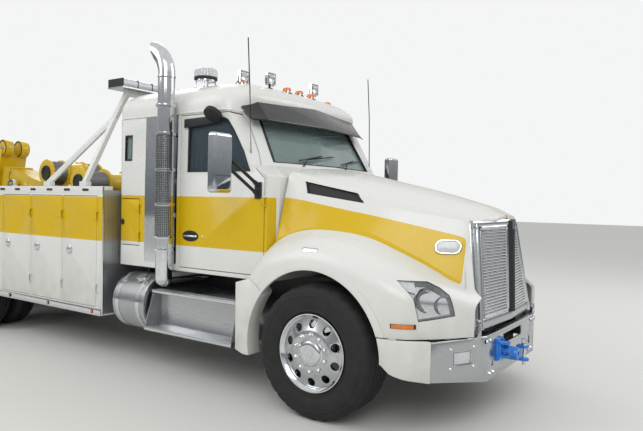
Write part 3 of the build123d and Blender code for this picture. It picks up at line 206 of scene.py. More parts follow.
def flat_band(low, high, out_from):
    """Band between two levels on what lies further out than out_from."""
    def depth(tree, x, side, z):
        above, below, outside = [add_node(tree, "Math", pair, operation="SUBTRACT")
                                 for pair in ((z, low), (high, z), (side, out_from))]
        level = add_node(tree, "Math", (above, below), operation="MINIMUM")
        return add_node(tree, "Math", (level, outside), operation="MINIMUM")
    return depth


CAB_BAND = (1.240, 1.700)
BODY_BAND = (1.235, 1.680)
cab_enamel = coach_enamel("cab_enamel_on_steel", flat_band(*CAB_BAND, 0.99))
body_enamel = coach_enamel("body_enamel_on_steel", flat_band(*BODY_BAND, 1.185))
plain_enamel = coach_enamel("white_enamel_on_steel", flat_band(9.0, 9.1, 0.0))

# x from the front axle with the height of the hood band's top and bottom edge
HOOD_BAND = [(-0.60, 1.711, 1.262), (-0.477, 1.702, 1.349), (-0.398, 1.694, 1.395),
             (-0.218, 1.664, 1.443), (0.037, 1.617, 1.445), (0.277, 1.575, 1.407),
             (0.508, 1.528, 1.316), (0.802, 1.461, 1.163), (0.874, 1.445, 1.120),
             (1.00, 1.416, 1.060)]
HOOD_BAND_END = 0.958
CENTRE_STRIPE_HALF = 0.018
CENTRE_STRIPE_Z = 1.50


def edge_height(tree, x, column):
    """Height of one edge of the hood's band at x, as a smooth curve."""
    first, last = HOOD_BAND[0][0], HOOD_BAND[-1][0]
    along = add_node(tree, "MapRange", (x, first + AXLE_X, last + AXLE_X))
    curve = add_node(tree, "FloatCurve", {1: along})
    points = curve.node.mapping.curves[0].points
    while len(points) < len(HOOD_BAND):
        points.new(0.5, 0.5)
    for point, row in zip(points, HOOD_BAND):
        point.location = ((row[0] - first) / (last - first), row[column] - 1.0)
    curve.node.mapping.update()
    return add_node(tree, "Math", (curve, 1.0), operation="ADD")


def hood_band(tree, x, side, z):
    """Sweeping band on the hood's flanks, with round corners, and the crown's stripe."""
    under_top, over_foot, behind, beside, over_flank = [
        add_node(tree, "Math", pair, operation="SUBTRACT")
        for pair in ((edge_height(tree, x, 1), z), (z, edge_height(tree, x, 2)),
                     (HOOD_BAND_END + AXLE_X, x), (CENTRE_STRIPE_HALF, side),
                     (z, CENTRE_STRIPE_Z))]
    upper = add_node(tree, "Math", (under_top, behind, 0.07), operation="SMOOTH_MIN")
    flank = add_node(tree, "Math", (upper, over_foot, 0.03), operation="SMOOTH_MIN")
    stripe = add_node(tree, "Math", (beside, over_flank), operation="MINIMUM")
    return add_node(tree, "Math", (flank, stripe), operation="MAXIMUM")


hood_enamel = coach_enamel("hood_enamel_on_fibreglass", hood_band)

# Plain panels keep the CAD form with broken edges: pressed sheet has a small
# radius at each fold, which catches a line of light.
slots = {row["node"]: row["material_slot"] for row in frame["record"]["subparts"]}
SHARP = math.radians(38)


def bevel(build, width, low, high=math.tau, shortest=0.0, segments=2):
    """Round the long enough edges whose faces meet at an angle from low to high."""
    edges = [edge for edge in build.edges if len(edge.link_faces) == 2
             and low < edge.calc_face_angle(0.0) < high and edge.calc_length() >= shortest]
    if edges and width > 0:
        bmesh.ops.bevel(build, geom=edges, offset=width, offset_type="OFFSET", segments=segments,
                        profile=0.5, affect="EDGES", clamp_overlap=True)


def to_mesh(build, name):
    """The bmesh as mesh data."""
    mesh = bpy.data.meshes.new(name)
    build.to_mesh(mesh)
    build.free()
    return mesh


def make_piece(build, name, finish, body, width=0.0, slot=None, stands_for=(), limit=SHARP):
    """Piece that rides on a body, its sharp edges rounded by width."""
    bevel(build, width, SHARP)
    bmesh.ops.recalc_face_normals(build, faces=build.faces)
    for face in build.faces:
        face.smooth = True
    for edge in build.edges:
        edge.smooth = len(edge.link_faces) == 2 and edge.calc_face_angle(0.0) < limit
    piece = put(name, to_mesh(build, name))
    piece.data.materials.append(finish)
    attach(piece, body)
    if stands_for:
        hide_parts(*stands_for)
    return piece


def eased(node, finish, width=0.004, soft=0.0, limit=38):
    """A CAD node's own form with its edges broken, and its upright corners rounder by soft."""
    build = bmesh.new()
    build.from_mesh(frame["nodes"][node].data)
    bmesh.ops.remove_doubles(build, verts=build.verts, dist=2e-5)
    bmesh.ops.dissolve_limit(build, angle_limit=math.radians(0.8), verts=build.verts,
                             edges=build.edges)
    bevel(build, soft, math.radians(15), math.radians(75), 0.15, 4)
    return make_piece(build, f"{node}_panel", finish, frame["nodes"][node]["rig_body"], width,
                      slots[node], (node,), math.radians(limit))


# Bare finishes
# The metals, rubber, plastics and glass that the truck's pieces share. Each
# carries the marks of its own making or use, sized in real millimetres.
def worn_finish(name, colour, other, roughness, spread, metallic=0.0, grain=30.0, stretch=(1, 1, 1),
                depth=0.0, coat=0.0, detail=4.0, mix=(0.35, 0.75)):
    """Finish whose colour and gloss drift together in a noise of 1/grain metres."""
    finish, tree, _ = new_finish(name, colour, roughness, metallic, coat)
    place = add_node(tree, "TexCoord", out="Object")
    scaled = add_node(tree, "VectorMath", (place, stretch), operation="MULTIPLY")
    noise = add_node(tree, "TexNoise", {"Vector": scaled, "Scale": grain, "Detail": detail})
    patch = add_node(tree, "MapRange", (noise, *mix))
    results = {
        "Base Color": add_node(tree, "Mix", {0: patch, 6: linear(colour), 7: linear(other)}, 2,
                               data_type="RGBA"),
        "Roughness": add_node(tree, "MapRange", {0: patch, 3: roughness, 4: roughness + spread})}
    if depth:
        results["Normal"] = add_node(tree, "Bump", {"Height": noise, "Strength": 0.6,
                                                    "Distance": depth})
    return wired(finish, results)


# chrome plate: water spots of 40 mm patches, a little duller where they dried
chrome = worn_finish("chrome_plate", "#DADCDE", "#CDD0D3", 0.05, 0.05, 1.0, 24.0)
# polished stainless sheet: fine brushed lines running along the truck
stainless = worn_finish("polished_stainless", "#BDBFC1", "#AEB1B4", 0.20, 0.10, 1.0, 160.0,
                        (0.04, 1, 1), 0.00004)
# cast iron and forged steel under black chassis paint, dust in the pores
chassis_black = worn_finish("black_chassis_paint", "#1B1C1E", "#4A463F", 0.42, 0.35, 0.0, 7.0,
                            detail=8.0, mix=(0.42, 0.95))
# moulded plastic with a leather-like grain of 1.5 mm
black_plastic = worn_finish("grained_black_plastic", "#141516", "#26282A", 0.55, 0.2, 0.0, 650.0,
                            depth=0.0002)
# moulded lenses: a clear gloss over fine flutes that break up the light
amber_lens = worn_finish("amber_lens", "#E07A10", "#C25F08", 0.12, 0.1, 0.0, 60.0, coat=0.5)
frosted_lens = worn_finish("frosted_lens", "#C9CCCE", "#AEB2B5", 0.18, 0.14, 0.0, 60.0, coat=0.5)


# Hood with its front wings
# One fibreglass moulding 25 mm thick, hinged at the nose: laid up in a mould,
# so its creases are rounded, and trimmed at the wheel arches, lamps and grille.
# x, crown z, crease y, z, waist y, z, shoulder y, z, side y, z
HOOD_STATIONS = [
    (-0.660, 2.020, 0.875, 1.955, 1.035, 1.214, 1.150, 1.130, 1.212, 1.010),
    (-0.490, 1.985, 0.850, 1.920, 1.020, 1.352, 1.140, 1.270, 1.216, 1.160),
    (-0.200, 1.930, 0.810, 1.845, 0.985, 1.444, 1.135, 1.365, 1.218, 1.240),
    (0.050, 1.880, 0.775, 1.775, 0.930, 1.447, 1.125, 1.372, 1.220, 1.250),
    (0.300, 1.830, 0.730, 1.712, 0.868, 1.405, 1.110, 1.325, 1.220, 1.205),
    (0.550, 1.772, 0.675, 1.650, 0.797, 1.300, 1.080, 1.235, 1.212, 1.115),
    (0.750, 1.718, 0.600, 1.612, 0.722, 1.192, 1.010, 1.150, 1.160, 1.040),
    (0.900, 1.675, 0.548, 1.585, 0.672, 1.105, 0.870, 1.090, 1.030, 1.010),
    (1.010, 1.622, 0.492, 1.555, 0.630, 1.045, 0.740, 1.030, 0.880, 0.985),
    (1.110, 1.586, 0.455, 1.515, 0.590, 1.000, 0.650, 0.980, 0.760, 0.940),
]
HOOD_FOOT_Z = 0.38
STEPS_PER_STATION = 6
CORNER_STEPS = 5
# how far each corner's round reaches back along its two flats
CORNER_REACH = (0.10, 0.055, 0.035, 0.06, 0.07)


def spline(before, start, end, after, part):
    """Catmull-Rom value between start and end."""
    return 0.5 * (2 * start + (end - before) * part
                  + (2 * before - 5 * start + 4 * end - after) * part ** 2
                  + (3 * start - before - 3 * end + after) * part ** 3)


def rounded_line(points, reaches, steps):
    """Open line through points whose inner corners are rounded."""
    line = [points[0]]
    for last, corner, following, reach in zip(points, points[1:], points[2:], reaches):
        start = corner + (last - corner).normalized() * min(reach, (last - corner).length * 0.48)
        end = corner + (following - corner).normalized() * min(
            reach, (following - corner).length * 0.48)
        for step in range(steps + 1):
            part = step / steps
            line.append((1 - part) ** 2 * start + 2 * part * (1 - part) * corner + part ** 2 * end)
    line.append(points[-1])
    return line


def along_stations(stations, steps, curved=True):
    """Rows of sizes drawn through stations, a number of steps to each gap."""
    last = len(stations) - 1
    for number in range(last):
        window = [stations[max(0, min(last, number + shift))] for shift in (-1, 0, 1, 2)]
        for step in range(steps + (number == last - 1)):
            yield [spline(*values, step / steps) if curved else values[1]
                   + (values[2] - values[1]) * step / steps for values in zip(*window)]


def loft(build, rings, closed=True, foot=False, top=False, looped=False):
    """Skin over rings of places, with a lid on the first or the last when asked."""
    rows = [[build.verts.new(place) for place in ring] for ring in rings]
    for row, following in zip(rows, rows[1:] + (rows[:1] if looped else [])):
        for one in range(len(row) if closed else len(row) - 1):
            two = (one + 1) % len(row)
            build.faces.new((row[one], row[two], following[two], following[one]))
    if foot:
        build.faces.new(rows[0])
    if top:
        build.faces.new(rows[-1])
    return rows


def skin_mesh(rings, outward, **ends):
    """Skin over rings, turned so that outward(face) adds up to more than 0."""
    build = bmesh.new()
    loft(build, rings, **ends)
    bmesh.ops.recalc_face_normals(build, faces=build.faces)
    if sum(outward(face) for face in build.faces) < 0:
        bmesh.ops.reverse_faces(build, faces=build.faces)
    return to_mesh(build, "skin")


def hood_ring(x, crown, crease_y, crease_z, *flank):
    """The hood's outline at one station, from foot to foot."""
    half = [Vector((0, crown)), Vector((crease_y * 0.6, crown - (crown - crease_z) * 0.28)),
            Vector((crease_y, crease_z)), Vector(flank[0:2]), Vector(flank[2:4]),
            Vector(flank[4:6]), Vector((flank[4], HOOD_FOOT_Z))]
    line = rounded_line(half, CORNER_REACH, CORNER_STEPS)
    return [truck(x, p.x, p.y) for p in [Vector((-p.x, p.y)) for p in reversed(line)] + line[1:]]


def facing_side(u, v, w):
    """Outline seen from the side: forward, up, and w outward."""
    return truck(u, w, v)


def facing_front(u, v, w):
    """Outline seen from the front: across, up, and w forward."""
    return truck(w, u, v)


def prism(outline, reach, to_place=facing_side):
    """Closed prism over an outline of (u, v), from reach[0] to reach[1] along w."""
    build = bmesh.new()
    near = [build.verts.new(to_place(u, v, reach[0])) for u, v in outline]
    far = [build.verts.new(to_place(u, v, reach[1])) for u, v in outline]
    build.faces.new(near)
    build.faces.new(list(reversed(far)))
    for one in range(len(outline)):
        two = (one + 1) % len(outline)
        build.faces.new((near[one], far[one], far[two], near[two]))
    bmesh.ops.recalc_face_normals(build, faces=build.faces)
    return build


def shaped(source, steps):
    """Mesh left after running (modifier type, settings) steps on source."""
    whole = put("blank", source)
    made = [whole]
    for kind, settings in steps:
        modifier = whole.modifiers.new(kind, kind)
        for key, value in settings.items():
            if key == "object":
                value = put("tool", to_mesh(value, "tool"))
                made.append(value)
            setattr(modifier, key, value)
    scene.view_layers.update()
    build = bmesh.new()
    build.from_object(whole, bpy.context.evaluated_depsgraph_get())
    for one in made:
        bpy.data.objects.remove(one)
    return build


def cut(tool, operation="DIFFERENCE"):
    """Step that takes a tool's volume away."""
    return "BOOLEAN", {"operation": operation, "solver": "EXACT", "object": tool}


def keep(tool):
    """Step that keeps only what lies inside a tool."""
    return cut(tool, "INTERSECT")


def wall(inner, outer=0.0):
    """Step that thickens a skin from inner below to outer above its surface."""
    thick = inner + outer
    return "SOLIDIFY", {"thickness": thick, "offset": -1 + 2 * outer / thick}


def circle(x, z, radius, count=48, start=0.0, turn=math.tau):
    """Points round a circle or an arc of it."""
    ends = count if turn == math.tau else count - 1
    return [(x + radius * math.cos(start + turn * step / ends),
             z + radius * math.sin(start + turn * step / ends)) for step in range(count)]


ARCH = (-0.030, 0.530)
ARCH_R = 0.620
FULL_WIDTH = (-1.3, 1.3)
REAR_CUT = [(-0.520, 2.2), (-0.520, 1.32), (-0.655, 1.044), (-0.515, 0.952), (-0.515, 0.3),
            (-0.9, 0.3), (-0.9, 2.2)]
FOOT_CUT = [(-1.0, 0.2), (1.2, 0.2), (1.2, 0.725), (0.45, 0.725), (0.45, 0.5), (-1.0, 0.5)]
VENT = [(-0.356, 1.844), (0.106, 1.750), (0.183, 1.671), (-0.316, 1.744)]
GRILLE_HOLE = [(-0.590, 0.770), (0.590, 0.770), (0.460, 1.530), (-0.460, 1.530)]
LAMP = [(-0.110, 0.130), (0.124, 0.119), (0.210, 0.078), (0.272, 0.027), (0.302, -0.100),
        (0.306, -0.119), (0.021, -0.151), (-0.017, 0.011)]
LAMP_REACH = (-0.12, 0.58)
GRILLE_LOW = (Vector((1.130, 0, 0.752)), Vector((1.095, 0.606, 0.748)))
GRILLE_HIGH = (Vector((1.104, 0, 1.566)), Vector((0.985, 0.480, 1.553)))
GRILLE_LEAN = (GRILLE_LOW[1] - GRILLE_LOW[0]).cross(GRILLE_HIGH[0] - GRILLE_LOW[0]).normalized()
DIAGONAL = math.sqrt(0.5)


def grille_point(across, up, out=0.0):
    """Point on the grille's face from the low centre to the top corner of one half."""
    low = GRILLE_LOW[0].lerp(GRILLE_LOW[1], abs(across))
    place = low.lerp(GRILLE_HIGH[0].lerp(GRILLE_HIGH[1], abs(across)), up) + GRILLE_LEAN * out
    return truck(place.x, place.y * (-1 if across < 0 else 1), place.z)


def ahead_of_grille(depth, spread=0.0, top=1.3, steps=1):
    """Space in front of a face that stands depth behind the grille's, spread times as wide."""
    rings = []
    for n in range(steps + 1):
        up = -0.6 + (top + 0.6) * n / steps
        middle, edge = grille_point(0, up), grille_point(1, up)
        wide = edge.y * spread or 1.3
        far_x = middle.x + (edge.x - middle.x) * wide / edge.y - depth
        rings.append([(middle.x - depth, 0, middle.z), (far_x, wide, edge.z), (5.0, wide, edge.z),
                      (5.0, -wide, edge.z), (far_x, -wide, edge.z)])
    build = bmesh.new()
    loft(build, rings, foot=True, top=True)
    bmesh.ops.triangulate(build, faces=build.faces)
    bmesh.ops.recalc_face_normals(build, faces=build.faces)
    return build


def lamp_place(u, v, w):
    """Where the slanting prism of the right headlamp puts its (u, v, w)."""
    return truck(0.7 + (u + w) * DIAGONAL, -1.0 + (u - w) * DIAGONAL, 1.0 + v)


def left_lamp_place(u, v, w):
    """The same place for the left headlamp."""
    return lamp_place(u, v, w) * Vector((1, -1, 1))


def grown(outline, amount):
    """Outline with each corner moved out from the middle by amount."""
    middle = sum((Vector(point) for point in outline), Vector((0, 0))) / len(outline)
    return [tuple(Vector(p) + (Vector(p) - middle).normalized() * amount) for p in outline]


def from_skin(name, finish, body, source, layer, outline, reach, *holes, width=0.0,
              to_place=facing_side, **links):
    """Piece that an outline keeps of a thickened skin, less the outlines of its holes."""
    steps = [wall(*layer), keep(prism(outline, reach, to_place))]
    steps += [cut(prism(hole, reach, to_place)) for hole in holes]
    return make_piece(shaped(source, steps), name, finish, body, width, **links)


def pushed(depth):
    """The hood's skin moved in by depth."""
    copy = skin.copy()
    for vertex in copy.vertices:
        vertex.co -= vertex.normal * depth
    return copy


skin = skin_mesh([hood_ring(*row) for row in along_stations(HOOD_STATIONS, STEPS_PER_STATION)],
                 lambda face: face.normal.z, closed=False)
hood_steps = [wall(0.025), cut(prism(REAR_CUT, FULL_WIDTH)), cut(prism(FOOT_CUT, FULL_WIDTH)),
              cut(prism(circle(*ARCH, ARCH_R, 96), FULL_WIDTH)),
              cut(prism(GRILLE_HOLE, (0.9, 1.13), facing_front)),
              cut(ahead_of_grille(0.0293)), cut(ahead_of_grille(0.08, 1.09, 0.98, 16))]
for side, place in ((-1, lamp_place), (1, left_lamp_place)):
    hood_steps.append(cut(prism(VENT, (side * 0.5, side * 1.3))))
    hood_steps.append(cut(prism(LAMP, LAMP_REACH, place)))
make_piece(shaped(skin, hood_steps), "hood_moulding", hood_enamel, "hood", 0.002, "white_paint",
           ("hood",))

# rolled lip round each wheel arch, sunk vent panel in its rim, bare badge place,
# oblong side lamp in its rim, and the wing's marker lamp
LIP = circle(*ARCH, ARCH_R + 0.055, 64, -0.35, math.pi + 0.55) + circle(
    *ARCH, ARCH_R, 64, -0.35, math.pi + 0.55)[::-1]
BADGE = [(-0.127, 1.29), (0.016, 1.29), (0.016, 1.32), (-0.127, 1.32)]
SIDE_LAMP = circle(0.806, 1.353, 0.053, 16, math.pi / 2, math.pi) + circle(
    0.885, 1.353, 0.053, 16, -math.pi / 2, math.pi)
MARKER = [(0.67, 0.80), (0.81, 0.80), (0.81, 0.828), (0.67, 0.828)]
for side, word in ((-1, "right"), (1, "left")):
    for name, finish, source, layer, outline, holes, width in (
            ("arch_lip", hood_enamel, skin, (0.004, 0.007), LIP, (REAR_CUT, FOOT_CUT), 0.002),
            ("vent_rim", black_plastic, skin, (0.022,), grown(VENT, 0.004),
             (grown(VENT, -0.014),), 0.001),
            ("vent_mesh", black_plastic, pushed(0.013), (0.008,), grown(VENT, 0.002), (), 0.0),
            ("badge_place", chrome, skin, (0.002, 0.004), BADGE, (), 0.001),
            ("side_lamp_rim", chrome, skin, (0.002, 0.012), SIDE_LAMP,
             (grown(SIDE_LAMP, -0.011),), 0.003),
            ("side_lamp_lens", frosted_lens, skin, (0.002, 0.008), grown(SIDE_LAMP, -0.012),
             (), 0.003),
            ("wing_marker_base", black_plastic, skin, (0.002, 0.005), grown(MARKER, 0.010),
             (), 0.001),
            ("wing_marker", amber_lens, skin, (0.002, 0.010), MARKER, (), 0.003)):
        from_skin(f"{name}_{word}", finish, "hood", source, layer, outline,
                  (side * 0.5, side * 1.3), *holes, width=width)


# Headlamps
# A clear moulded cover clipped over a plated housing, with two round
# reflectors and a frosted turn lamp, behind the cut in each wing.
def clear_pane(name, tint, clearness):
    """Glass seen through, a little tinted, with a thin film of dust."""
    finish, tree, shader = new_finish(name, tint, 0.02)
    shader.inputs["IOR"].default_value = 1.5
    place = add_node(tree, "TexCoord", out="Object")
    film = add_node(tree, "TexNoise", {"Vector": place, "Scale": 5.0, "Detail": 7.0})
    clear = add_node(tree, "MapRange", (film, 0.3, 0.8, clearness, clearness + 0.12))
    rough = add_node(tree, "MapRange", {0: film, 3: 0.01, 4: 0.09})
    return wired(finish, {"Alpha": clear, "Roughness": rough})


# clear moulded cover: hardly tinted, with a little dust
lamp_glass = clear_pane("clear_lamp_glass", "#E8ECEE", 0.06)


def ring_at(centre, ahead, radius, lift, count):
    """Points of a circle square to ahead, lift along it from centre."""
    turn = ahead.to_track_quat("Z", "Y").to_matrix()
    return [centre + turn @ Vector((radius * math.cos(math.tau * n / count),
                                    radius * math.sin(math.tau * n / count), lift))
            for n in range(count)]


def dish(build, centre, ahead, radius, depth, rings=6, count=28):
    """Bowl open towards ahead, with its rim round centre."""
    shares = [1 - ring / rings for ring in range(rings + 1)]
    loft(build, [ring_at(centre, ahead, radius * max(share, 0.03), -depth * (1 - share ** 2), count)
                 for share in shares], top=True)


def ray_target(mesh):
    """The mesh as a surface to cast rays at."""
    return BVHTree.FromPolygons([v.co for v in mesh.vertices],
                                [list(face.vertices) for face in mesh.polygons])


def twin(piece):
    """The left-hand copy of a right-hand piece on the same body."""
    mesh = piece.data.copy()
    for vertex in mesh.vertices:
        vertex.co.y *= -1
    mesh.flip_normals()
    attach(put(piece.name.replace("right", "left"), mesh), "hood")


surface = ray_target(skin)
bowls, bulbs, rings = bmesh.new(), bmesh.new(), bmesh.new()
for u, v, radius in ((0.085, 0.005, 0.078), (0.222, -0.040, 0.060)):
    start, end = lamp_place(u, v, 0.6), lamp_place(u, v, -0.12)
    spot, normal, _, _ = surface.ray_cast(start, (end - start).normalized())
    ahead = (normal + Vector((1.1, 0, 0))).normalized()
    dish(bowls, spot - normal * 0.034, ahead, radius, 0.055)
    dish(rings, spot - normal * 0.038, ahead, radius * 1.13, 0.012)
    dish(bulbs, spot - normal * 0.066, -ahead, 0.016, 0.022, 4, 14)
TURN_LAMP = [(-0.105, 0.125), (0.02, 0.119), (0.012, 0.04), (-0.05, 0.06)]
lamp_pieces = [
    from_skin(name, finish, "hood", pushed(depth), (thick,), outline, LAMP_REACH, *holes,
              width=width, to_place=lamp_place, **links)
    for name, finish, depth, thick, outline, holes, width, links in (
        ("lamp_housing_right", chrome, 0.046, 0.008, LAMP, (), 0.0,
         {"slot": "chrome", "stands_for": ("headlamps",)}),
        ("lamp_cover_right", lamp_glass, 0.003, 0.004, grown(LAMP, -0.002), (), 0.0,
         {"slot": "lamp_glass"}),
        ("lamp_seal_right", black_plastic, 0.002, 0.030, LAMP, (grown(LAMP, -0.006),), 0.0, {}),
        ("turn_lamp_right", frosted_lens, 0.012, 0.028, TURN_LAMP, (), 0.002, {}))]
lamp_pieces += [make_piece(bowls, "lamp_bowls_right", chrome, "hood"),
                make_piece(rings, "lamp_rings_right", black_plastic, "hood"),
                make_piece(bulbs, "lamp_bulbs_right", frosted_lens, "hood")]
for piece in lamp_pieces:
    twin(piece)


# Grille
# Two banks of thin rolled louvres in rounded chrome frames, each side of a
# centre bar whose black is painted shade of a gap, bolted to the hood's nose
# over a wide steel sill.
def bar_between(build, start, end, out, half, depth, turns=6, dome=0.7):
    """Round-fronted bar from start to end, half high and depth deep behind its face."""
    over = out.cross((end - start).normalized()).normalized()
    section = [(half * math.cos(math.pi * n / turns), half * dome * math.sin(math.pi * n / turns))
               for n in range(turns + 1)] + [(-half, -depth), (half, -depth)]
    loft(build, [[place + over * a + out * b for a, b in section] for place in (start, end)],
         foot=True, top=True)


def slat(build, side, start, end, half, depth, *look):
    """Bar over one half of the grille between two (across, up, lift) places."""
    ends = [grille_point(side * across, up, lift) for across, up, lift in (start, end)]
    bar_between(build, *ends, GRILLE_LEAN * Vector((1, side, 1)), half, depth, *look)


forward = Vector((1, 0, 0))
louvres, frames, surround, backing = bmesh.new(), bmesh.new(), bmesh.new(), bmesh.new()
nose, cheek, sill, centre, ornament = [bmesh.new() for _ in range(5)]
for side in (-1, 1):
    for number in range(29):
        up = 0.115 + 0.800 * number / 28
        slat(louvres, side, (0.13, up, 0.004), (0.87, up, 0.004), 0.0104, 0.028, 4)
    for number in range(1, 6):
        across = 0.13 + 0.74 * number / 6
        slat(louvres, side, (across, 0.10, -0.014), (across, 0.92, -0.014), 0.002, 0.02, 2)
    # thin rounded frame round each bank, then the deep two-step surround at the edge
    corners = [(0.15, 0.095, 0.010), (0.115, 0.125, 0.010), (0.115, 0.905, 0.010),
               (0.15, 0.932, 0.010), (0.855, 0.932, 0.010), (0.89, 0.905, 0.010),
               (0.89, 0.125, 0.010), (0.855, 0.095, 0.010)]
    for start, end in zip(corners, corners[1:] + corners[:1]):
        slat(frames, side, start, end, 0.011, 0.04)
    for across, lift, half, high in ((0.975, 0.010, 0.020, 0.965), (0.93, -0.008, 0.011, 0.965),
                                     (1.062, -0.018, 0.013, 0.975)):
        slat(surround, side, (across, 0.0, lift), (across, high, lift), half, 0.06)
    slat(surround, side, (0, 0.965, 0.002), (1.07, 0.965, 0.0), 0.031, 0.065, 8, 0.5)
    # plated return behind the frame, then a painted one out to the hood's nose
    for build, first, last in ((cheek, 0, 3), (nose, 2, 4)):
        strip = []
        for up in [n / 24 for n in range(25)]:
            line = ((0.985, -0.010), (1.040, -0.046), (1.092, -0.050),
                    (1.105 + 0.180 * (1 - up) ** 1.5, -0.027 - 0.040 * up))
            strip.append([grille_point(side * across, up, lift)
                          for across, lift in line[first:last]])
        loft(build, strip, closed=False)
    slat(backing, side, (0.02, 0.52, -0.024), (0.93, 0.52, -0.024), 0.34, 0.004, 2, 0.0)
    slat(sill, side, (0, 0.045, 0.004), (1.06, 0.045, 0.004), 0.040, 0.03, 6, 0.3)
# the centre bar's black plastic is painted shade: it stands for the shadowed gap between the two
# banks
for build, low, high, lift, *sizes in (
        (centre, 0.08, 0.985, 0.006, 0.044, 0.05), (ornament, 0.90, 1.0, 0.022, 0.030, 0.02, 8),
        (ornament, 0.10, 0.89, 0.020, 0.006, 0.012, 4),
        (ornament, 0.52, 0.74, 0.026, 0.012, 0.014, 8)):
    bar_between(build, grille_point(0, low, lift), grille_point(0, high, lift), forward, *sizes)
make_piece(louvres, "grille_louvres", chrome, "hood", 0.0, "chrome", ("grille",))
for build, name, finish, width in (
        (frames, "frames", chrome, 0.0), (surround, "surround", chrome, 0.0),
        (backing, "screen", black_plastic, 0.0), (nose, "returns", hood_enamel, 0.0),
        (cheek, "cheeks", chrome, 0.0), (sill, "sill", stainless, 0.002),
        (centre, "centre_bar", black_plastic, 0.0), (ornament, "ornament", chrome, 0.003)):
    make_piece(build, f"grille_{name}", finish, "hood", width)


# Bumper
# Folded stainless plate bolted to the rails, its top edge turned back, with a
# square fog lamp held behind each wing by four screws.
BUMPER_X, BUMPER_BEND = 1.150, 0.607
# how far each wing of the bumper runs out and back from its bend
WING_OUT, WING_BACK = 0.463, 0.230
BUMPER_FACE = [Vector((x + AXLE_X, y)) for x, y in (
    (0.920, -1.070), (BUMPER_X, -BUMPER_BEND), (BUMPER_X, BUMPER_BEND), (0.920, 1.070))]


def bumper_spot(y, z):
    """Point on the bumper's face and the direction square to it."""
    if abs(y) <= BUMPER_BEND:
        return truck(BUMPER_X, y, z), forward
    x = BUMPER_X - (abs(y) - BUMPER_BEND) * WING_BACK / WING_OUT
    out = Vector((WING_OUT, math.copysign(WING_BACK, y), 0)).normalized()
    return truck(x, y, z), out


def screw(build, place, ahead, radius, height, count=6):
    """Headed screw standing on a face."""
    rings = [ring_at(place, ahead, reach * radius, up * height, sides) for reach, up, sides in (
        (1.35, 0.0, 16), (1.35, 0.2, 16), (1, 0.22, count), (1, 0.85, count), (0.8, 1, count))]
    if count == 16:
        build.faces.new(loft(build, rings, top=True)[1])
    else:
        loft(build, rings[:2], top=True)
        loft(build, rings[2:], top=True)


def tube(build, line, radius, sides=10):
    """Bent round bar along a line of points."""
    rings, shift, last = [], 0, None
    for number, place in enumerate(line):
        ahead = line[min(number + 1, len(line) - 1)] - line[max(number - 1, 0)]
        ring = ring_at(place, ahead, radius, 0, sides)
        if last:
            shift += min(range(sides), key=lambda s: (last[0] - ring[s]).length)
        rings.append(ring[shift % sides:] + ring[:shift % sides])
        last = ring
    loft(build, rings, foot=True, top=True)


def barred(build, corners, radius, sides):
    """Closed frame of straight round bars from corner to corner."""
    for start, end in zip(corners, corners[1:] + corners[:1]):
        tube(build, [start, end], radius, sides)


# silvered glass: a clean mirror with faint smears
silver_glass = worn_finish("silvered_mirror_glass", "#DDE1E3", "#D0D4D7", 0.03, 0.03, 1.0, 12.0)
eased("bumper", stainless, 0.003)
screws, plates, lenses, lip, splash = [bmesh.new() for _ in range(5)]
for side in (-1, 1):
    for y, z in ((0.53, 0.67), (0.53, 0.42), (0.60, 0.67), (0.46, 0.42)):
        screw(screws, *bumper_spot(side * y, z), 0.014, 0.012)
    for y in (0.716, 0.909):
        for z in (0.507, 0.647):
            screw(screws, *bumper_spot(side * y, z), 0.008, 0.007)
    spot, wing = bumper_spot(side * 0.8125, 0.577)
    across = wing.cross(Vector((0, 0, 1)))
    bar_between(lenses, spot - wing * 0.012 - across * 0.072, spot - wing * 0.012 + across * 0.072,
                wing, 0.049, 0.004, 8, 0.10)
    for n in range(9):
        at = spot - wing * 0.0065 + across * (-0.064 + 0.016 * n)
        tube(plates, [at - Vector((0, 0, 0.040)), at + Vector((0, 0, 0.040))], 0.0035, 8)
for start, end in zip(BUMPER_FACE, BUMPER_FACE[1:]):
    along = (end - start).normalized()
    out = Vector((along.y, -along.x, 0))
    bar_between(lip, Vector((*start, 0.7055)) - out * 0.004, Vector((*end, 0.7055)) - out * 0.004,
                out, 0.0065, 0.012, 8, 0.9)
# black splash panel seen in the gap over the bumper and through its slots
bar_between(splash, truck(0.985, -0.56, 0.575), truck(0.985, 0.56, 0.575), forward, 0.145, 0.008,
            4, 0.01)
for z in [0.465 + 0.055 * n for n in range(5)]:
    bar_between(splash, truck(0.985, -0.55, z), truck(0.985, 0.55, z), forward, 0.008, 0.004, 6,
                0.8)
for build, name, finish, width in (
        (screws, "bumper_screws", chrome, 0.0), (plates, "fog_lamp_flutes", lamp_glass, 0.0),
        (lenses, "fog_lamp_fronts", silver_glass, 0.0), (lip, "bumper_top_bead", chrome, 0.0),
        (splash, "splash_panel", black_plastic, 0.001)):
    make_piece(build, name, finish, "chassis", width)

# Tow hitch: blue cast jaws with a bright pin hanging through them, and the
# pin's pull ring.

# enamel over cast steel: glossy, the casting's grain showing through
blue_enamel = worn_finish("blue_enamel_on_cast_steel", "#0E74CE", "#0C5CA6", 0.3, 0.25, 0.0, 14.0,
                          depth=0.0006, coat=0.4, mix=(0.45, 0.8))
eased("tow_hitch", blue_enamel, 0.005)
pin, bolts = bmesh.new(), bmesh.new()
for radius, levels in ((0.0125, (0.405, 0.410, 0.566)), (0.024, (0.5605, 0.575))):
    tube(pin, [truck(1.262, -0.050, z) for z in levels], radius, 16)
pull_ring = [truck(1.262 + x, -0.050, z) for x, z in circle(0, 0.594, 0.022, 16)]
tube(pin, pull_ring + pull_ring[:1], 0.004, 8)
make_piece(pin, "hitch_pin", chrome, "chassis")
for y in (-0.395, -0.305):
    for z in (0.510, 0.640):
        screw(bolts, truck(1.166, y, z), forward, 0.011, 0.014)
make_piece(bolts, "hitch_base_bolts", blue_enamel, "chassis")


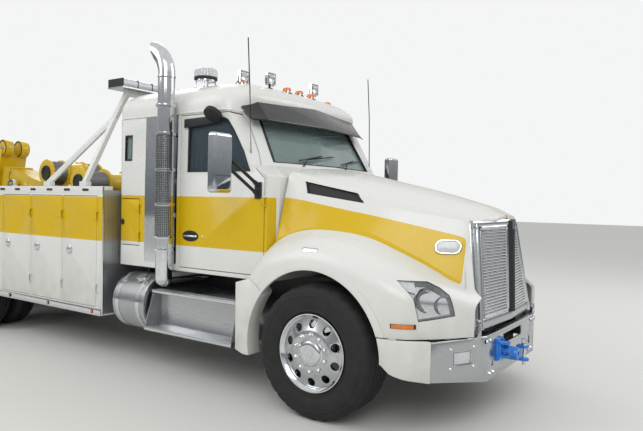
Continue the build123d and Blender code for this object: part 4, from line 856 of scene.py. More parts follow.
# Wheels
# Rubber tyres with ribbed treads on forged aluminium discs, each held by ten
# nuts under bright caps; the front hubs carry a plated cover.
TYRE_R = 0.520
HAND_HOLE_AT = 0.222


def lathe(build, profile, place, facing, count=72, close=False):
    """Turn a (radius, across) line about an axis along Y; facing mirrors it."""
    return loft(build, [[Vector((x, place[1] + facing * across, z))
                         for x, z in circle(place[0], place[2], radius, count)]
                        for radius, across in profile], looped=close)


def tyre_section(half, rib_count):
    """Half-worn truck tyre: bead, bulged wall with two fine rings, ribbed tread."""
    wall_line = [(radius, inset - half) for radius, inset in (
        (0.292, 0.040), (0.300, 0.030), (0.318, 0.018), (0.322, 0.012), (0.330, 0.012),
        (0.334, 0.014), (0.372, 0.003), (0.400, 0.001), (0.436, 0.004), (0.440, 0.001),
        (0.448, 0.003), (0.452, 0.008), (0.480, 0.014), (0.496, 0.022), (0.508, 0.036),
        (0.517, 0.056))]
    tread = []
    edge = half - 0.062
    pitch = 2 * edge / rib_count
    for rib in range(rib_count):
        start = -edge + pitch * rib
        tread += [(0.5195, start + 0.005), (0.5195, start + pitch - 0.005)]
        if rib < rib_count - 1:
            tread += [(0.506, start + pitch - 0.003), (0.506, start + pitch + 0.003)]
    return wall_line + tread + [(r, -a) for r, a in reversed(wall_line)]


def build_tyre(name, body, place, half, ribs, facing, stands_for=()):
    """Tyre whose shoulder blocks are parted by short cross cuts."""
    build = bmesh.new()
    rows = lathe(build, tyre_section(half, ribs), place, facing, 120)
    for row in rows[13:17] + rows[-17:-13]:
        for vertex in row[::4]:
            inward = Vector((place[0] - vertex.co.x, 0, place[2] - vertex.co.z))
            vertex.co += inward.normalized() * 0.007
    make_piece(build, name, tyre_rubber, body, 0.0, "tyre_rubber", stands_for)


def nut_ring(build, place, facing, radius, across, count, flat, height):
    """Hexagon nuts with domed caps on a circle."""
    for number in range(count):
        angle = math.tau * (number + 0.5) / count
        at = (place[0] + radius * math.cos(angle), place[1] + facing * across,
              place[2] + radius * math.sin(angle))
        lathe(build, [(flat * 1.25, 0), (flat * 1.25, -0.004), (flat, -0.005),
                      (flat, -height * 0.6), (flat * 0.8, -height * 0.85),
                      (flat * 0.3, -height), (0.001, -height)], at, facing,
              6 if height < 0.04 else 12)


def drilled(profile, place, facing, y_reach):
    """Disc of a closed section with its ten hand holes."""
    build = bmesh.new()
    lathe(build, profile, place, facing, 96, close=True)
    bmesh.ops.recalc_face_normals(build, faces=build.faces)
    ends = sorted(place[1] + facing * reach for reach in y_reach)
    holes = circle(place[0] - AXLE_X, place[2], HAND_HOLE_AT, 10, math.pi / 2)
    return shaped(to_mesh(build, "disc"), [cut(prism(circle(x, z, 0.033, 24), ends))
                                           for x, z in holes])


def rim_barrel(build, place, facing, half):
    """Rim under a tyre with its rolled flanges."""
    lathe(build, [(0.296, -half + 0.010), (0.302, -half + 0.004), (0.300, -half), (0.292, -half),
                  (0.284, -half + 0.010), (0.270, -half + 0.022), (0.268, -half + 0.05),
                  (0.268, half - 0.02), (0.296, half)], place, facing, 96)


# tyre rubber, browner with dry mud where it scuffs
tyre_rubber = worn_finish("tyre_rubber", "#141415", "#2E2C29", 0.72, 0.2, 0.0, 9.0, detail=9.0,
                          mix=(0.45, 0.9))
# polished forging: faint turning marks round the disc and a soft blur
alloy = worn_finish("polished_aluminium_forging", "#C9CBCD", "#B3B6B9", 0.14, 0.16, 1.0, 14.0)

for facing, word in ((1, "right"), (-1, "left")):
    # front: the disc stands at the outer face of a single tyre
    place = Vector((AXLE_X, -facing * 1.055, TYRE_R))
    body = f"front_wheel_{word}"
    build_tyre(f"front_tyre_{word}", body, place, 0.185, 5, facing, (body,))
    disc = drilled([(0.094, 0.060), (0.094, 0.172), (0.165, 0.171), (0.178, 0.166),
                    (0.262, 0.136), (0.276, 0.134), (0.276, 0.118), (0.255, 0.116),
                    (0.105, 0.146), (0.105, 0.060)], place, -facing, (-0.02, 0.2))
    make_piece(disc, f"front_disc_{word}", alloy, body, 0.003)
    trim = bmesh.new()
    rim_barrel(trim, place, facing, 0.170)
    nut_ring(trim, place, facing, 0.1425, -0.170, 10, 0.017, 0.026)
    lathe(trim, [(0.112, -0.168), (0.112, -0.174), (0.100, -0.178), (0.097, -0.186),
                 (0.088, -0.192), (0.060, -0.196), (0.052, -0.1955), (0.050, -0.193),
                 (0.034, -0.193), (0.032, -0.197), (0.001, -0.198)], place, facing, 64)
    make_piece(trim, f"front_hub_trim_{word}", chrome, body)
    for number, rear_x in enumerate((-5.300, -6.620), start=1):
        # rear: a pair of tyres, the outer disc dished in to the hub
        body = f"rear_wheel_{number}_{word}"
        middle = Vector((rear_x + AXLE_X, -facing * 0.910, TYRE_R))
        trim = bmesh.new()
        for pair, y in enumerate((1.070, 0.750)):
            own = Vector((middle.x, -facing * y, TYRE_R))
            build_tyre(f"rear_tyre_{number}_{pair}_{word}", body, own, 0.135, 4, facing,
                       (body,) if pair == 0 else ())
            rim_barrel(trim, own, facing, 0.123)
        disc = drilled([(0.094, 0.010), (0.094, 0.031), (0.165, 0.034), (0.262, 0.096),
                        (0.275, 0.112), (0.275, 0.094), (0.262, 0.080), (0.165, 0.016)],
                       middle, -facing, (-0.05, 0.2))
        make_piece(disc, f"rear_disc_{number}_{word}", alloy, body, 0.003)
        lathe(trim, [(0.105, 0.060), (0.105, -0.196), (0.094, -0.203), (0.092, -0.250),
                     (0.084, -0.264), (0.066, -0.274), (0.001, -0.275)], middle, facing, 64)
        lathe(trim, [(0.262, 0.080), (0.165, 0.020), (0.105, 0.012)], middle, facing, 64)
        nut_ring(trim, middle, facing, 0.1425, -0.030, 10, 0.017, 0.045)
        make_piece(trim, f"rear_hub_trim_{number}_{word}", chrome, body)


# Cab and sleeper
# Riveted and bonded aluminium walls under a moulded roof, with black rubber
# seals pushed into every gap and round the glass.
# level z, nose x, corner x, y, side x, y, rear x, rear corner y
CAB_LEVELS = [
    (1.000, -0.540, -0.540, 0.980, -0.590, 1.060, -2.585, 1.020),
    (1.880, -0.540, -0.540, 0.960, -0.590, 1.060, -2.585, 1.020),
    (1.985, -0.600, -0.721, 0.820, -0.790, 1.057, -2.585, 1.020),
    (2.470, -0.930, -1.000, 0.830, -1.060, 1.052, -2.585, 1.025),
]
ROOF_LEVELS = [CAB_LEVELS[-1], (2.600, -0.885, -0.950, 0.850, -1.150, 1.045, -2.580, 1.020),
               (2.690, -0.930, -1.020, 0.820, -1.250, 0.965, -2.555, 0.940),
               (2.760, -1.080, -1.150, 0.720, -1.380, 0.800, -2.500, 0.760),
               (2.825, -1.350, -1.430, 0.480, -1.600, 0.540, -2.350, 0.500)]


def plan_ring(z, nose_x, corner_x, corner_y, side_x, side_y, rear_x, rear_y):
    """Level plan of the cab with rounded corners."""
    half = [Vector(p) for p in ((nose_x, 0), (corner_x, corner_y), (side_x, side_y),
                                (rear_x + 0.06, side_y), (rear_x, rear_y), (rear_x, 0))]
    line = rounded_line(half, (0.09, 0.09, 0.03, 0.03), 5)
    return [truck(p.x, p.y, z) for p in line + [Vector((p.x, -p.y)) for p in line[-2:0:-1]]]


def plan_skin(levels, steps, capped):
    """Walls lofted through level plans."""
    return skin_mesh([plan_ring(*row) for row in along_stations(levels, steps, capped)],
                     lambda face: face.normal.x * (face.calc_center_median().x - 1.6), top=capped)


cab_skin = plan_skin(CAB_LEVELS, 1, False)
make_piece(shaped(plan_skin(ROOF_LEVELS, 5, True), [wall(0.04)]), "roof_moulding", cab_enamel,
           "chassis", 0.0, "white_paint", ("roof",))


def trim_inside(piece):
    """Dark moulded trim on the faces that look in at the cab's middle."""
    piece.data.materials.append(black_plastic)
    for face in piece.data.polygons:
        inward = -face.normal.y if face.center.y > 0 else face.normal.y
        if inward > 0.5 and abs(face.center.y) < 1.05:
            face.material_index = 1


trim_inside(eased("cab_shell", cab_enamel, 0.004, 0.022))

DOOR_WINDOW = [(-0.790, 1.925), (-0.865, 2.100), (-0.985, 2.290), (-1.060, 2.385),
               (-1.120, 2.405), (-1.560, 2.405), (-1.560, 1.925)]
SLEEPER_WINDOW = [(-2.480, 2.050), (-2.370, 2.050), (-2.370, 2.300), (-2.480, 2.300)]
WINDSCREEN = [(-0.815, 2.015), (0.815, 2.015), (0.760, 2.440), (-0.760, 2.440)]


def seal(name, body, outline, reach, width, low, high, to_place=facing_side):
    """Strip of rubber just inside an outline on the cab's skin."""
    from_skin(name, black_plastic, body, cab_skin, (low, high), grown(outline, 0.004), reach,
              grown(outline, -width), width=0.001, to_place=to_place)


# toughened glass, dark and neutral at the sides, pale green in front
tinted_glass = clear_pane("tinted_window_glass", "#46545C", 0.45)
screen_glass = clear_pane("green_windscreen_glass", "#8FA2A2", 0.46)
seal("windscreen_seal", "chassis", WINDSCREEN, (-1.2, -0.4), 0.028, 0.012, 0.003, facing_front)
eased("fixed_glass", screen_glass, 0.0)
for side, word in ((-1, "right"), (1, "left")):
    reach = (side * 0.7, side * 1.3)
    trim_inside(eased(f"door_{word}", cab_enamel, 0.003, 0.022))
    eased(f"door_glass_{word}", tinted_glass, 0.0)
    eased(f"baggage_door_{word}", cab_enamel, 0.003)
    body = f"door_{word}"
    seal(f"window_seal_{word}", body, DOOR_WINDOW, reach, 0.020, 0.012, 0.003)
    rain = [(-1.600, 2.330), (-1.600, 2.412), (-1.200, 2.422), (-1.120, 2.395), (-1.200, 2.360)]
    from_skin(f"window_deflector_{word}", black_plastic, body, cab_skin, (-0.018, 0.022), rain,
              reach, width=0.002)
    seal(f"sleeper_seal_{word}", "chassis", SLEEPER_WINDOW, reach, 0.014, 0.02, 0.004)
    # recessed black handle cup with a plated pull, a key lock, and the baggage latch
    handle, cup, latch, drip, aerial = [bmesh.new() for _ in range(5)]
    outward = Vector((0, side, 0))
    tube(handle, [truck(x, side * (1.062 + lift), 1.335) for x, lift in (
        (-1.595, 0), (-1.587, 0.012), (-1.57, 0.018), (-1.45, 0.018), (-1.433, 0.012),
        (-1.425, 0))], 0.010, 10)
    screw(handle, truck(-1.36, side * 1.0605, 1.335), outward, 0.010, 0.006, 12)
    loft(cup, [[truck(-1.51 + 0.105 * x, side * y, 1.335 + 0.050 * z)
                for x, z in circle(0, 0, 1, 40)] for y in (1.0635, 1.0585)], foot=True)
    screw(latch, truck(-2.50, side * 1.0605, 1.43), outward, 0.020, 0.012, 16)
    bar_between(latch, truck(-2.50, side * 1.066, 1.415), truck(-2.50, side * 1.066, 1.460),
                outward, 0.011, 0.008)
    tube(drip, [truck(x, side * y, z) for x, y, z in (
        (-2.52, 1.056, 2.474), (-1.10, 1.056, 2.474), (-1.03, 1.045, 2.468),
        (-0.99, 0.95, 2.466))], 0.008, 8)
    # long springy aerial on a rubber foot
    tube(aerial, [truck(x, side * y, z) for x, y, z in (
        (-0.83, 0.985, 1.93), (-0.83, 1.005, 2.02), (-0.85, 1.015, 2.63),
        (-0.88, 1.015, 3.08))], 0.005, 8)
    tube(aerial, [truck(-0.83, side * 0.965, 1.90), truck(-0.83, side * 1.0, 1.99)], 0.013, 10)
    make_piece(handle, f"door_handle_{word}", chrome, body, 0.001)
    make_piece(cup, f"door_handle_cup_{word}", black_plastic, body, 0.001)
    make_piece(latch, f"baggage_latch_{word}", black_plastic, f"baggage_door_{word}", 0.001)
    make_piece(drip, f"roof_drip_{word}", cab_enamel, "chassis")
    make_piece(aerial, f"aerial_{word}", black_plastic, "chassis")

# Wipers: black pressed arms with rubber blades parked along the glass's foot.
wipers = bmesh.new()
screen = ray_target(cab_skin)


def on_screen(y, z, out):
    """Point out from the windscreen's skin at a width and a height."""
    spot, normal, _, _ = screen.ray_cast(Vector((4.0, y, z)), Vector((-1, 0, 0)))
    return spot + (normal if normal.x > 0 else -normal) * out


for y in (-0.46, 0.20):
    tube(wipers, [on_screen(y, 1.995, 0.008), on_screen(y + 0.08, 2.06, 0.022),
                  on_screen(y + 0.30, 2.10, 0.022)], 0.007, 8)
    tube(wipers, [on_screen(y - 0.02 + 0.056 * n, 2.052 + 0.007 * n, 0.004) for n in range(11)],
         0.006, 6)
make_piece(wipers, "wipers", black_plastic, "chassis")

# Sun visor: smoked black moulding held off the roof by three small brackets.
visor_black = worn_finish("smoked_visor_plastic", "#0B0C0D", "#1A1B1D", 0.16, 0.2, 0.0, 12.0,
                          coat=0.4)
eased("visor", visor_black, 0.005, 0.02)

# Inside the cab: moulded dash and door cards, and cloth seats with stitched
# cushions on their black bases.

# woven cloth: matt, its weave drawn at 2 mm so that it shows
seat_cloth = worn_finish("grey_seat_cloth", "#3A3C40", "#505357", 0.9, 0.08, 0.0, 420.0,
                         depth=0.0008)
eased("cab_interior", black_plastic, 0.02)
eased("steering_wheel", black_plastic, 0.0)


def cushion(name, centre, half, turn, crown, channels):
    """Foam pad in a sewn cover: crowned, its sides drawn in, with a border seam and channels."""
    build = bmesh.new()
    made = bmesh.ops.create_cube(build, size=2.0)
    bmesh.ops.subdivide_edges(build, edges=list({e for v in made["verts"] for e in v.link_edges}),
                              cuts=25, use_grid_fill=True)
    for vertex in build.verts:
        x, y, z = vertex.co
        round_off = (abs(x) ** 7 + abs(y) ** 7 + abs(z) ** 7) ** (1 / 7)
        height = (1 - crown) + crown * (1 - x * x) * (1 - y * y)
        seams = [abs(max(abs(x), abs(y)) - 0.84)] if abs(z) == 1 else [9]
        seams += [abs(y - at) for at in channels if z == 1 and max(abs(x), abs(y)) < 0.84]
        height -= 0.10 * math.exp(-(min(seams) / 0.045) ** 2)
        vertex.co = Vector(centre) + turn @ Vector((
            x / round_off * (1 - 0.05 * (1 - y * y)) * half[0],
            y / round_off * (1 - 0.05 * (1 - x * x)) * half[1], z / round_off * height * half[2]))
    make_piece(build, name, seat_cloth, "chassis")


leant_back = Matrix.Rotation(math.radians(80), 3, "Y")
flat = Matrix.Identity(3)
for y, word in ((-0.5, "right"), (0.5, "left")):
    cushion(f"seat_pad_{word}", truck(-1.39, y, 1.55), (0.26, 0.25, 0.07), flat, 0.25,
            (-0.42, 0, 0.42))
    cushion(f"seat_back_{word}", truck(-1.575, y, 1.86), (0.33, 0.245, 0.07), leant_back, 0.22,
            (-0.42, 0, 0.42))
    cushion(f"seat_headrest_{word}", truck(-1.665, y, 2.22), (0.08, 0.14, 0.065), leant_back,
            0.2, ())
cushion("bunk_mattress", truck(-2.235, 0, 1.60), (0.26, 0.92, 0.08), flat, 0.15, (-0.5, 0, 0.5))


# Mirrors
# Plated shells with flat and convex glass to the rear, on black arms from the
# door, and a round look-down mirror over each window.
for side, word in ((-1, "right"), (1, "left")):
    body = f"door_{word}"
    head = eased(f"mirror_{word}", chrome, 0.003, 0.0, 60)
    # the look-down mirror's bowl is black plastic
    head.data.materials.append(black_plastic)
    for face in head.data.polygons:
        if face.center.z > 2.30:
            face.material_index = 1
    panes, rims, boots = bmesh.new(), bmesh.new(), bmesh.new()
    for low, high, crown in ((1.905, 2.180, 0.03), (1.765, 1.885, 0.12)):
        bar_between(panes, truck(-0.827, side * 1.435, low), truck(-0.827, side * 1.435, high),
                    -forward, 0.075, 0.004, 8, crown)
        bar_between(rims, truck(-0.825, side * 1.435, low - 0.008),
                    truck(-0.825, side * 1.435, high + 0.008), -forward, 0.083, 0.002, 8, 0.03)
    tube(rims, [truck(-0.825 + x, side * y, 1.868) for x, y in (
        (0.0, 1.352), (0.016, 1.334), (0.045, 1.3335), (0.074, 1.334), (0.0905, 1.352),
        (0.0905, 1.518), (0.074, 1.536), (0.045, 1.5365), (0.016, 1.536), (0.0, 1.518))],
         0.0035, 6)
    for low, high in ((1.725, 1.94), (1.805, 2.02)):
        start, end = truck(-0.69, side * 1.073, low), truck(-0.78, side * 1.338, high)
        for first, last, radius in ((0, 0.12, 0.019), (0.86, 0.985, 0.019), (0.1, 0.9, 0.0145)):
            tube(boots, [start.lerp(end, first), start.lerp(end, last)], radius, 12)
    foot = [(-0.725, 1.69), (-0.655, 1.69), (-0.655, 1.83), (-0.725, 1.83)]
    make_piece(panes, f"mirror_glass_{word}", silver_glass, body)
    make_piece(rims, f"mirror_rims_{word}", black_plastic, body)
    make_piece(boots, f"mirror_arms_{word}", black_plastic, body)
    from_skin(f"mirror_foot_{word}", black_plastic, body, cab_skin, (0.002, 0.016), foot,
              (side * 0.9, side * 1.2), width=0.004)


# Exhaust stack
# Bright steel pipe turned back at the top, a perforated half guard against
# burns, band clamps, and a polished sheet on the cab behind it.
STACK = truck(-1.752, -1.160, 0)
COLUMNS, ROWS = 16, 58
eased("exhaust_stack", chrome, 0.0, 0.0, 30)
guard, shadow, bands = bmesh.new(), bmesh.new(), bmesh.new()
loft(guard, [[Vector((*spot, 1.335 + 0.920 * row / ROWS)) for spot in circle(
    STACK.x, STACK.y, 0.0895, COLUMNS + 1, math.pi, math.pi)] for row in range(ROWS + 1)],
     closed=False)
cells = guard.faces[:]
guard.normal_update()
bmesh.ops.inset_individual(guard, faces=cells, thickness=0.0038)
bmesh.ops.delete(guard, geom=cells, context="FACES")
make_piece(guard, "stack_guard_mesh", stainless, "chassis")
# black sheet just inside the perforated guard: painted shade of the space behind its holes
loft(shadow, [[Vector((*spot, z)) for spot in circle(STACK.x, STACK.y, 0.0872, 21, math.pi,
                                                     math.pi)] for z in (1.332, 2.258)],
     closed=False)
make_piece(shadow, "stack_guard_painted_shade", chassis_black, "chassis")
for z, radius in ((1.318, 0.091), (1.62, 0.0915), (1.94, 0.0915), (2.272, 0.091), (2.532, 0.090),
                  (1.20, 0.082), (2.80, 0.081)):
    loft(bands, [[Vector((*spot, z + lift)) for spot in circle(STACK.x, STACK.y, radius + out, 40)]
                 for out, lift in ((-0.008, -0.016), (0, -0.014), (0.001, 0), (0, 0.014),
                                   (-0.008, 0.016))])
    screw(bands, STACK + Vector((-0.03, 0.006 - radius, z)), Vector((0, -1, 0)), 0.007, 0.016)
make_piece(bands, "stack_bands", chrome, "chassis")


# Steps and tanks
# Pressed alloy treads with rows of raised grip buttons over a plated side
# sheet, and spun alloy tanks held by strapped brackets.
eased("cab_steps", stainless, 0.003)
TANK_HOOPS = ((-2.478, -2.458), (-2.362, -2.278), (-2.232, -2.148), (-2.052, -2.032))
TANK_LINE = [(0.001, -2.4995), (0.20, -2.4985), (0.265, -2.497), (0.280, -2.490),
             (0.2845, -2.478)] + [(0.2845, x) for ends in TANK_HOOPS for x in ends] + [
    (0.2845, -2.032), (0.280, -2.020), (0.265, -2.013), (0.20, -2.0115), (0.001, -2.0105)]
for side, word in ((-1, "right"), (1, "left")):
    outward = Vector((0, side, 0))
    grips, nosing, tank, straps, cap = [bmesh.new() for _ in range(5)]
    for z, rows in ((0.800, (1.035, 1.060, 1.085)), (0.455, (1.035, 1.09, 1.145, 1.180))):
        for y in rows:
            for n in range(36):
                spot = truck(-1.935 + 1.05 * n / 35, side * y, z)
                loft(grips, [[Vector((a, b, z + lift)) for a, b in circle(spot.x, spot.y, radius,
                                                                          10)]
                             for radius, lift in ((0.010, 0), (0.007, 0.004))], top=True)
    for y, z in ((1.106, 0.785), (1.196, 0.440)):
        bar_between(nosing, truck(-1.972, side * y, z), truck(-0.848, side * y, z), outward,
                    0.0165, 0.012, 8, 0.35)
    centre = truck(0, side * 0.900, 0.640)
    loft(tank, [[Vector((centre.x + x, *spot)) for spot in circle(centre.y, centre.z, radius, 80)]
                for radius, x in TANK_LINE])
    for x in (-2.410, -2.100):
        for reach, half in ((0.2905, 0.023), (0.2865, 0.030)):
            loft(straps, [[Vector((centre.x + x + dx, *spot))
                           for spot in circle(centre.y, centre.z, radius, 72)]
                          for dx, radius in ((-half, 0.284), (-half, reach), (half, reach),
                                             (half, 0.284))])
        tube(straps, [centre + Vector((x, side * 0.215, 0.205)),
                      centre + Vector((x, side * 0.12, 0.272))], 0.012, 10)
        bar_between(straps, centre + Vector((x, -side * 0.27, -0.10)),
                    centre + Vector((x, -side * 0.27, 0.16)), outward, 0.025, 0.18, 4, 0.1)
    for radius, up in ((0.045, 0.012), (0.052, 0.030)):
        tube(cap, [centre + Vector((-2.17, side * (0.150 + up * 0.4), 0.238)),
                   centre + Vector((-2.17, side * (0.150 + up * 0.9), 0.238 + up))], radius, 20)
    make_piece(grips, f"step_grips_{word}", stainless, "chassis")
    make_piece(nosing, f"step_nosings_{word}", chrome, "chassis")
    make_piece(tank, f"tank_skin_{word}", stainless, "chassis", 0.0, "polished_steel",
               ("fuel_tanks",) if side < 0 else ())
    make_piece(straps, f"tank_straps_{word}", chrome, "chassis")
    make_piece(cap, f"tank_cap_{word}", chrome, "chassis")


# Lamps on the roof
# Amber marker lamps on plated feet, square floodlamps in plated cans, and a
# fluted beacon on a bracket.
roof_top = ray_target(frame["nodes"]["roof"].data)


def roof_height(x, y):
    """Height of the roof's skin over a place."""
    spot = roof_top.ray_cast(Vector((x, y, 4.0)), Vector((0, 0, -1)))[0]
    return spot.z if spot else 2.75


feet, markers = bmesh.new(), bmesh.new()
for y in (0.0, 0.2, -0.2, 0.716, -0.716):
    x = (-1.09 if abs(y) < 0.3 else -1.235) + AXLE_X
    low = roof_height(x - 0.005, y)
    for build, behind, front, half in ((feet, 0.068, 0.058, 0.041), (markers, 0.050, 0.050, 0.034)):
        top = 2.802 if build is markers else min(2.770, max(low + 0.03, 2.752))
        loft(build, [[Vector((x + (front if a > 0 else behind) * share * a, y + half * share * b,
                              z)) for a, b in circle(0, 0, 1, 24)]
                     for share, z in ((1.0, low - 0.012), (1.0, (low + top) / 2),
                                      (0.86, top - 0.006), (0.55, top))], top=True)
make_piece(feet, "marker_feet", chrome, "chassis", 0.0, "chrome", ("roof_lamps",))
make_piece(markers, "marker_lenses", amber_lens, "chassis", 0.0, "lamp_glass")


def lamp_bar(build, at, back, half_width, lift, *sizes, ahead=forward):
    """Bar across a floodlamp, back from the middle of its face."""
    bar_between(build, at + Vector((back, -half_width, lift)),
                at + Vector((back, half_width, lift)), ahead, *sizes)


cans, bezels, fronts, stems = [bmesh.new() for _ in range(4)]
for x, y, z in ((-1.220, -0.700, 2.830), (-1.225, -0.300, 2.885), (-1.200, 0.400, 2.890)):
    at = truck(x, y, z)
    lamp_bar(cans, at, 0.003, 0.056, 0, 0.056, 0.015, 6, 0.02)
    for start, end in (((-0.054, -0.054), (0.054, -0.054)), ((-0.054, 0.054), (0.054, 0.054)),
                       ((-0.054, -0.054), (-0.054, 0.054)), ((0.054, -0.054), (0.054, 0.054))):
        bar_between(cans, at + Vector((0.019, *start)), at + Vector((0.019, *end)), forward, 0.0025,
                    0.020, 4, 0.2)
    lamp_bar(cans, at, -0.006, 0.044, 0, 0.044, 0.026, 6, 0.05)
    for n in range(5):
        lamp_bar(cans, at, -0.020, 0.040, -0.034 + 0.017 * n, 0.003, 0.008, 4, 2.0,
                 ahead=-forward)
    lamp_bar(fronts, at, 0.021, 0.052, 0, 0.052, 0.004, 8, 0.08)
    barred(bezels, [at + Vector((0.022, a * 0.055, b * 0.055))
                    for a, b in ((-1, -1), (1, -1), (1, 1), (-1, 1))], 0.0045, 8)
    dish(bezels, at + Vector((0.022, 0, 0)), forward, 0.046, 0.016, 5, 24)
    low = roof_height(at.x, y)
    stem = at - Vector((0.006, 0, z))
    for radius, bottom, top, sides in ((0.012, low - 0.01, z - 0.05, 10),
                                       (0.032, low - 0.004, low + 0.008, 16)):
        tube(stems, [stem + Vector((0, 0, bottom)), stem + Vector((0, 0, top))], radius, sides)
    for dy in (-0.058, 0.058):
        tube(stems, [stem + Vector(step) for step in ((0, 0, z - 0.066), (0, dy, z - 0.062),
                                                      (0, dy, z))], 0.0045, 8)
for build, name, finish in ((cans, "floodlamp_cans", chrome),
                            (bezels, "floodlamp_bezels", chrome),
                            (fronts, "floodlamp_fronts", lamp_glass),
                            (stems, "floodlamp_stems", chassis_black)):
    make_piece(build, name, finish, "chassis")

BEACON = truck(-1.714, -0.700, 0)
dome, base, legs = bmesh.new(), bmesh.new(), bmesh.new()
loft(dome, [[BEACON + Vector((0.115 * share * (1.0 - 0.035 * (n % 2)) * x,
                              0.115 * share * (1.0 - 0.035 * (n % 2)) * y, z))
             for n, (x, y) in enumerate(circle(0, 0, 1, 64))]
            for share, z in ((0.90, 2.872), (0.985, 2.876), (0.985, 2.930), (0.93, 2.950),
                             (0.80, 2.959), (0.01, 2.960))])
make_piece(dome, "beacon_lens", frosted_lens, "chassis")
for build, low, high, radius, sides in ((base, 2.851, 2.874, 0.114, 40), (base, 2.92, 2.957, 0.03,
                                        20), (legs, 2.838, 2.852, 0.095, 32)):
    tube(build, [BEACON + Vector((0, 0, z)) for z in (low, high)], radius, sides)
make_piece(base, "beacon_base", black_plastic, "chassis", 0.003)
for dy in (-0.080, 0.080):
    low = roof_height(BEACON.x, BEACON.y + dy)
    tube(legs, [BEACON + Vector(step) for step in (
        (-0.085, dy * 1.2, low - 0.005), (-0.055, dy, low + 0.012), (-0.05, dy, 2.842),
        (0.05, dy, 2.842), (0.055, dy, low + 0.004), (0.09, dy * 1.2, low - 0.02))], 0.010, 10)
make_piece(legs, "beacon_bracket", chrome, "chassis")


# Pylon and light bar
# White steel tubes braced behind the cab carry a long lamp bar: frosted
# modules between dark ribs on a plated tray.
eased("light_pylon", plain_enamel, 0.012)
modules, ribs, tray = bmesh.new(), bmesh.new(), bmesh.new()
for n in range(10):
    y = -0.945 + 0.189 * n
    for way in (1, -1):
        bar_between(modules, truck(-2.800 + way * 0.102, y + 0.006, 2.883),
                    truck(-2.800 + way * 0.102, y + 0.183, 2.883), way * forward, 0.042, 0.10, 10,
                    0.6)
for n in range(11):
    y = -0.944 + 0.1888 * n
    bar_between(ribs, truck(-2.924, y - 0.0055, 2.882), truck(-2.924, y + 0.0055, 2.882), -forward,
                0.046, 0.248, 8, 0.02)
for x, half_width, z, thick, deep in ((-2.67, 0.95, 2.837, 0.0068, 0.26),
                                      (-2.69, 0.945, 2.926, 0.004, 0.22)):
    bar_between(tray, truck(x, -half_width, z), truck(x, half_width, z), forward, thick, deep, 6,
                0.0)
make_piece(modules, "light_bar_modules", frosted_lens, "chassis", 0.0, "lamp_glass",
           ("light_bar",))
make_piece(ribs, "light_bar_ribs", black_plastic, "chassis")
make_piece(tray, "light_bar_tray", stainless, "chassis", 0.001)


# Wrecker body
# Box-section side lockers in folded sheet with flush doors on outside pin
# hinges, three-point latches and a plated rub rail along the foot.

BAR_PITCH = 32.0


def checker_plate(name, colour, metallic):
    """Rolled plate with raised crossed bars about 30 mm long, worn bright on top."""
    finish, tree, _ = new_finish(name, colour, 0.35, metallic)
    place = add_node(tree, "TexCoord", out="Object")
    x, y, z = add_node(tree, "SeparateXYZ", (place,)).node.outputs
    # both counts run with height too, so that the bars cross on every side of a sheet
    upright, along = [add_node(tree, "Math", (way, z), operation="ADD") for way in (y, x)]
    heights = []
    for turn in (1, -1):
        # one family of bars leans each way, and every second cell belongs to it
        far, which = [], []
        for lean in (turn, -turn):
            cell = add_node(tree, "Math", (upright, lean, along), operation="MULTIPLY_ADD")
            cell = add_node(tree, "Math", (cell, BAR_PITCH), operation="MULTIPLY")
            which.append(add_node(tree, "Math", (cell,), operation="FLOOR"))
            for operation, other in (("FRACT", 0.0), ("SUBTRACT", 0.5), ("ABSOLUTE", 0.0)):
                cell = add_node(tree, "Math", (cell, other), operation=operation)
            far.append(cell)
        count = add_node(tree, "Math", which, operation="ADD")
        mine = add_node(tree, "Math", (count, 1.0), operation="PINGPONG")
        if turn == -1:
            mine = add_node(tree, "Math", (1.0, mine), operation="SUBTRACT")
        shape = add_node(tree, "Math", (far[1], 5.0, far[0]), operation="MULTIPLY_ADD")
        bar = add_node(tree, "MapRange", (shape, 0.62, 0.40))
        heights.append(add_node(tree, "Math", (bar, mine), operation="MULTIPLY"))
    raised = add_node(tree, "Math", heights, operation="MAXIMUM")
    paint = add_node(tree, "Mix", {0: raised, 6: linear(colour), 7: linear("#D9DBDC")}, 2,
                     data_type="RGBA")
    bump = add_node(tree, "Bump", {"Height": raised, "Distance": 0.0015})
    return wired(finish, {"Base Color": paint, "Normal": bump})


# aluminium plate of the lockers' fronts and the deck, its bars scuffed bright
tread_plate = checker_plate("aluminium_tread_plate", "#A9ABAD", 1.0)

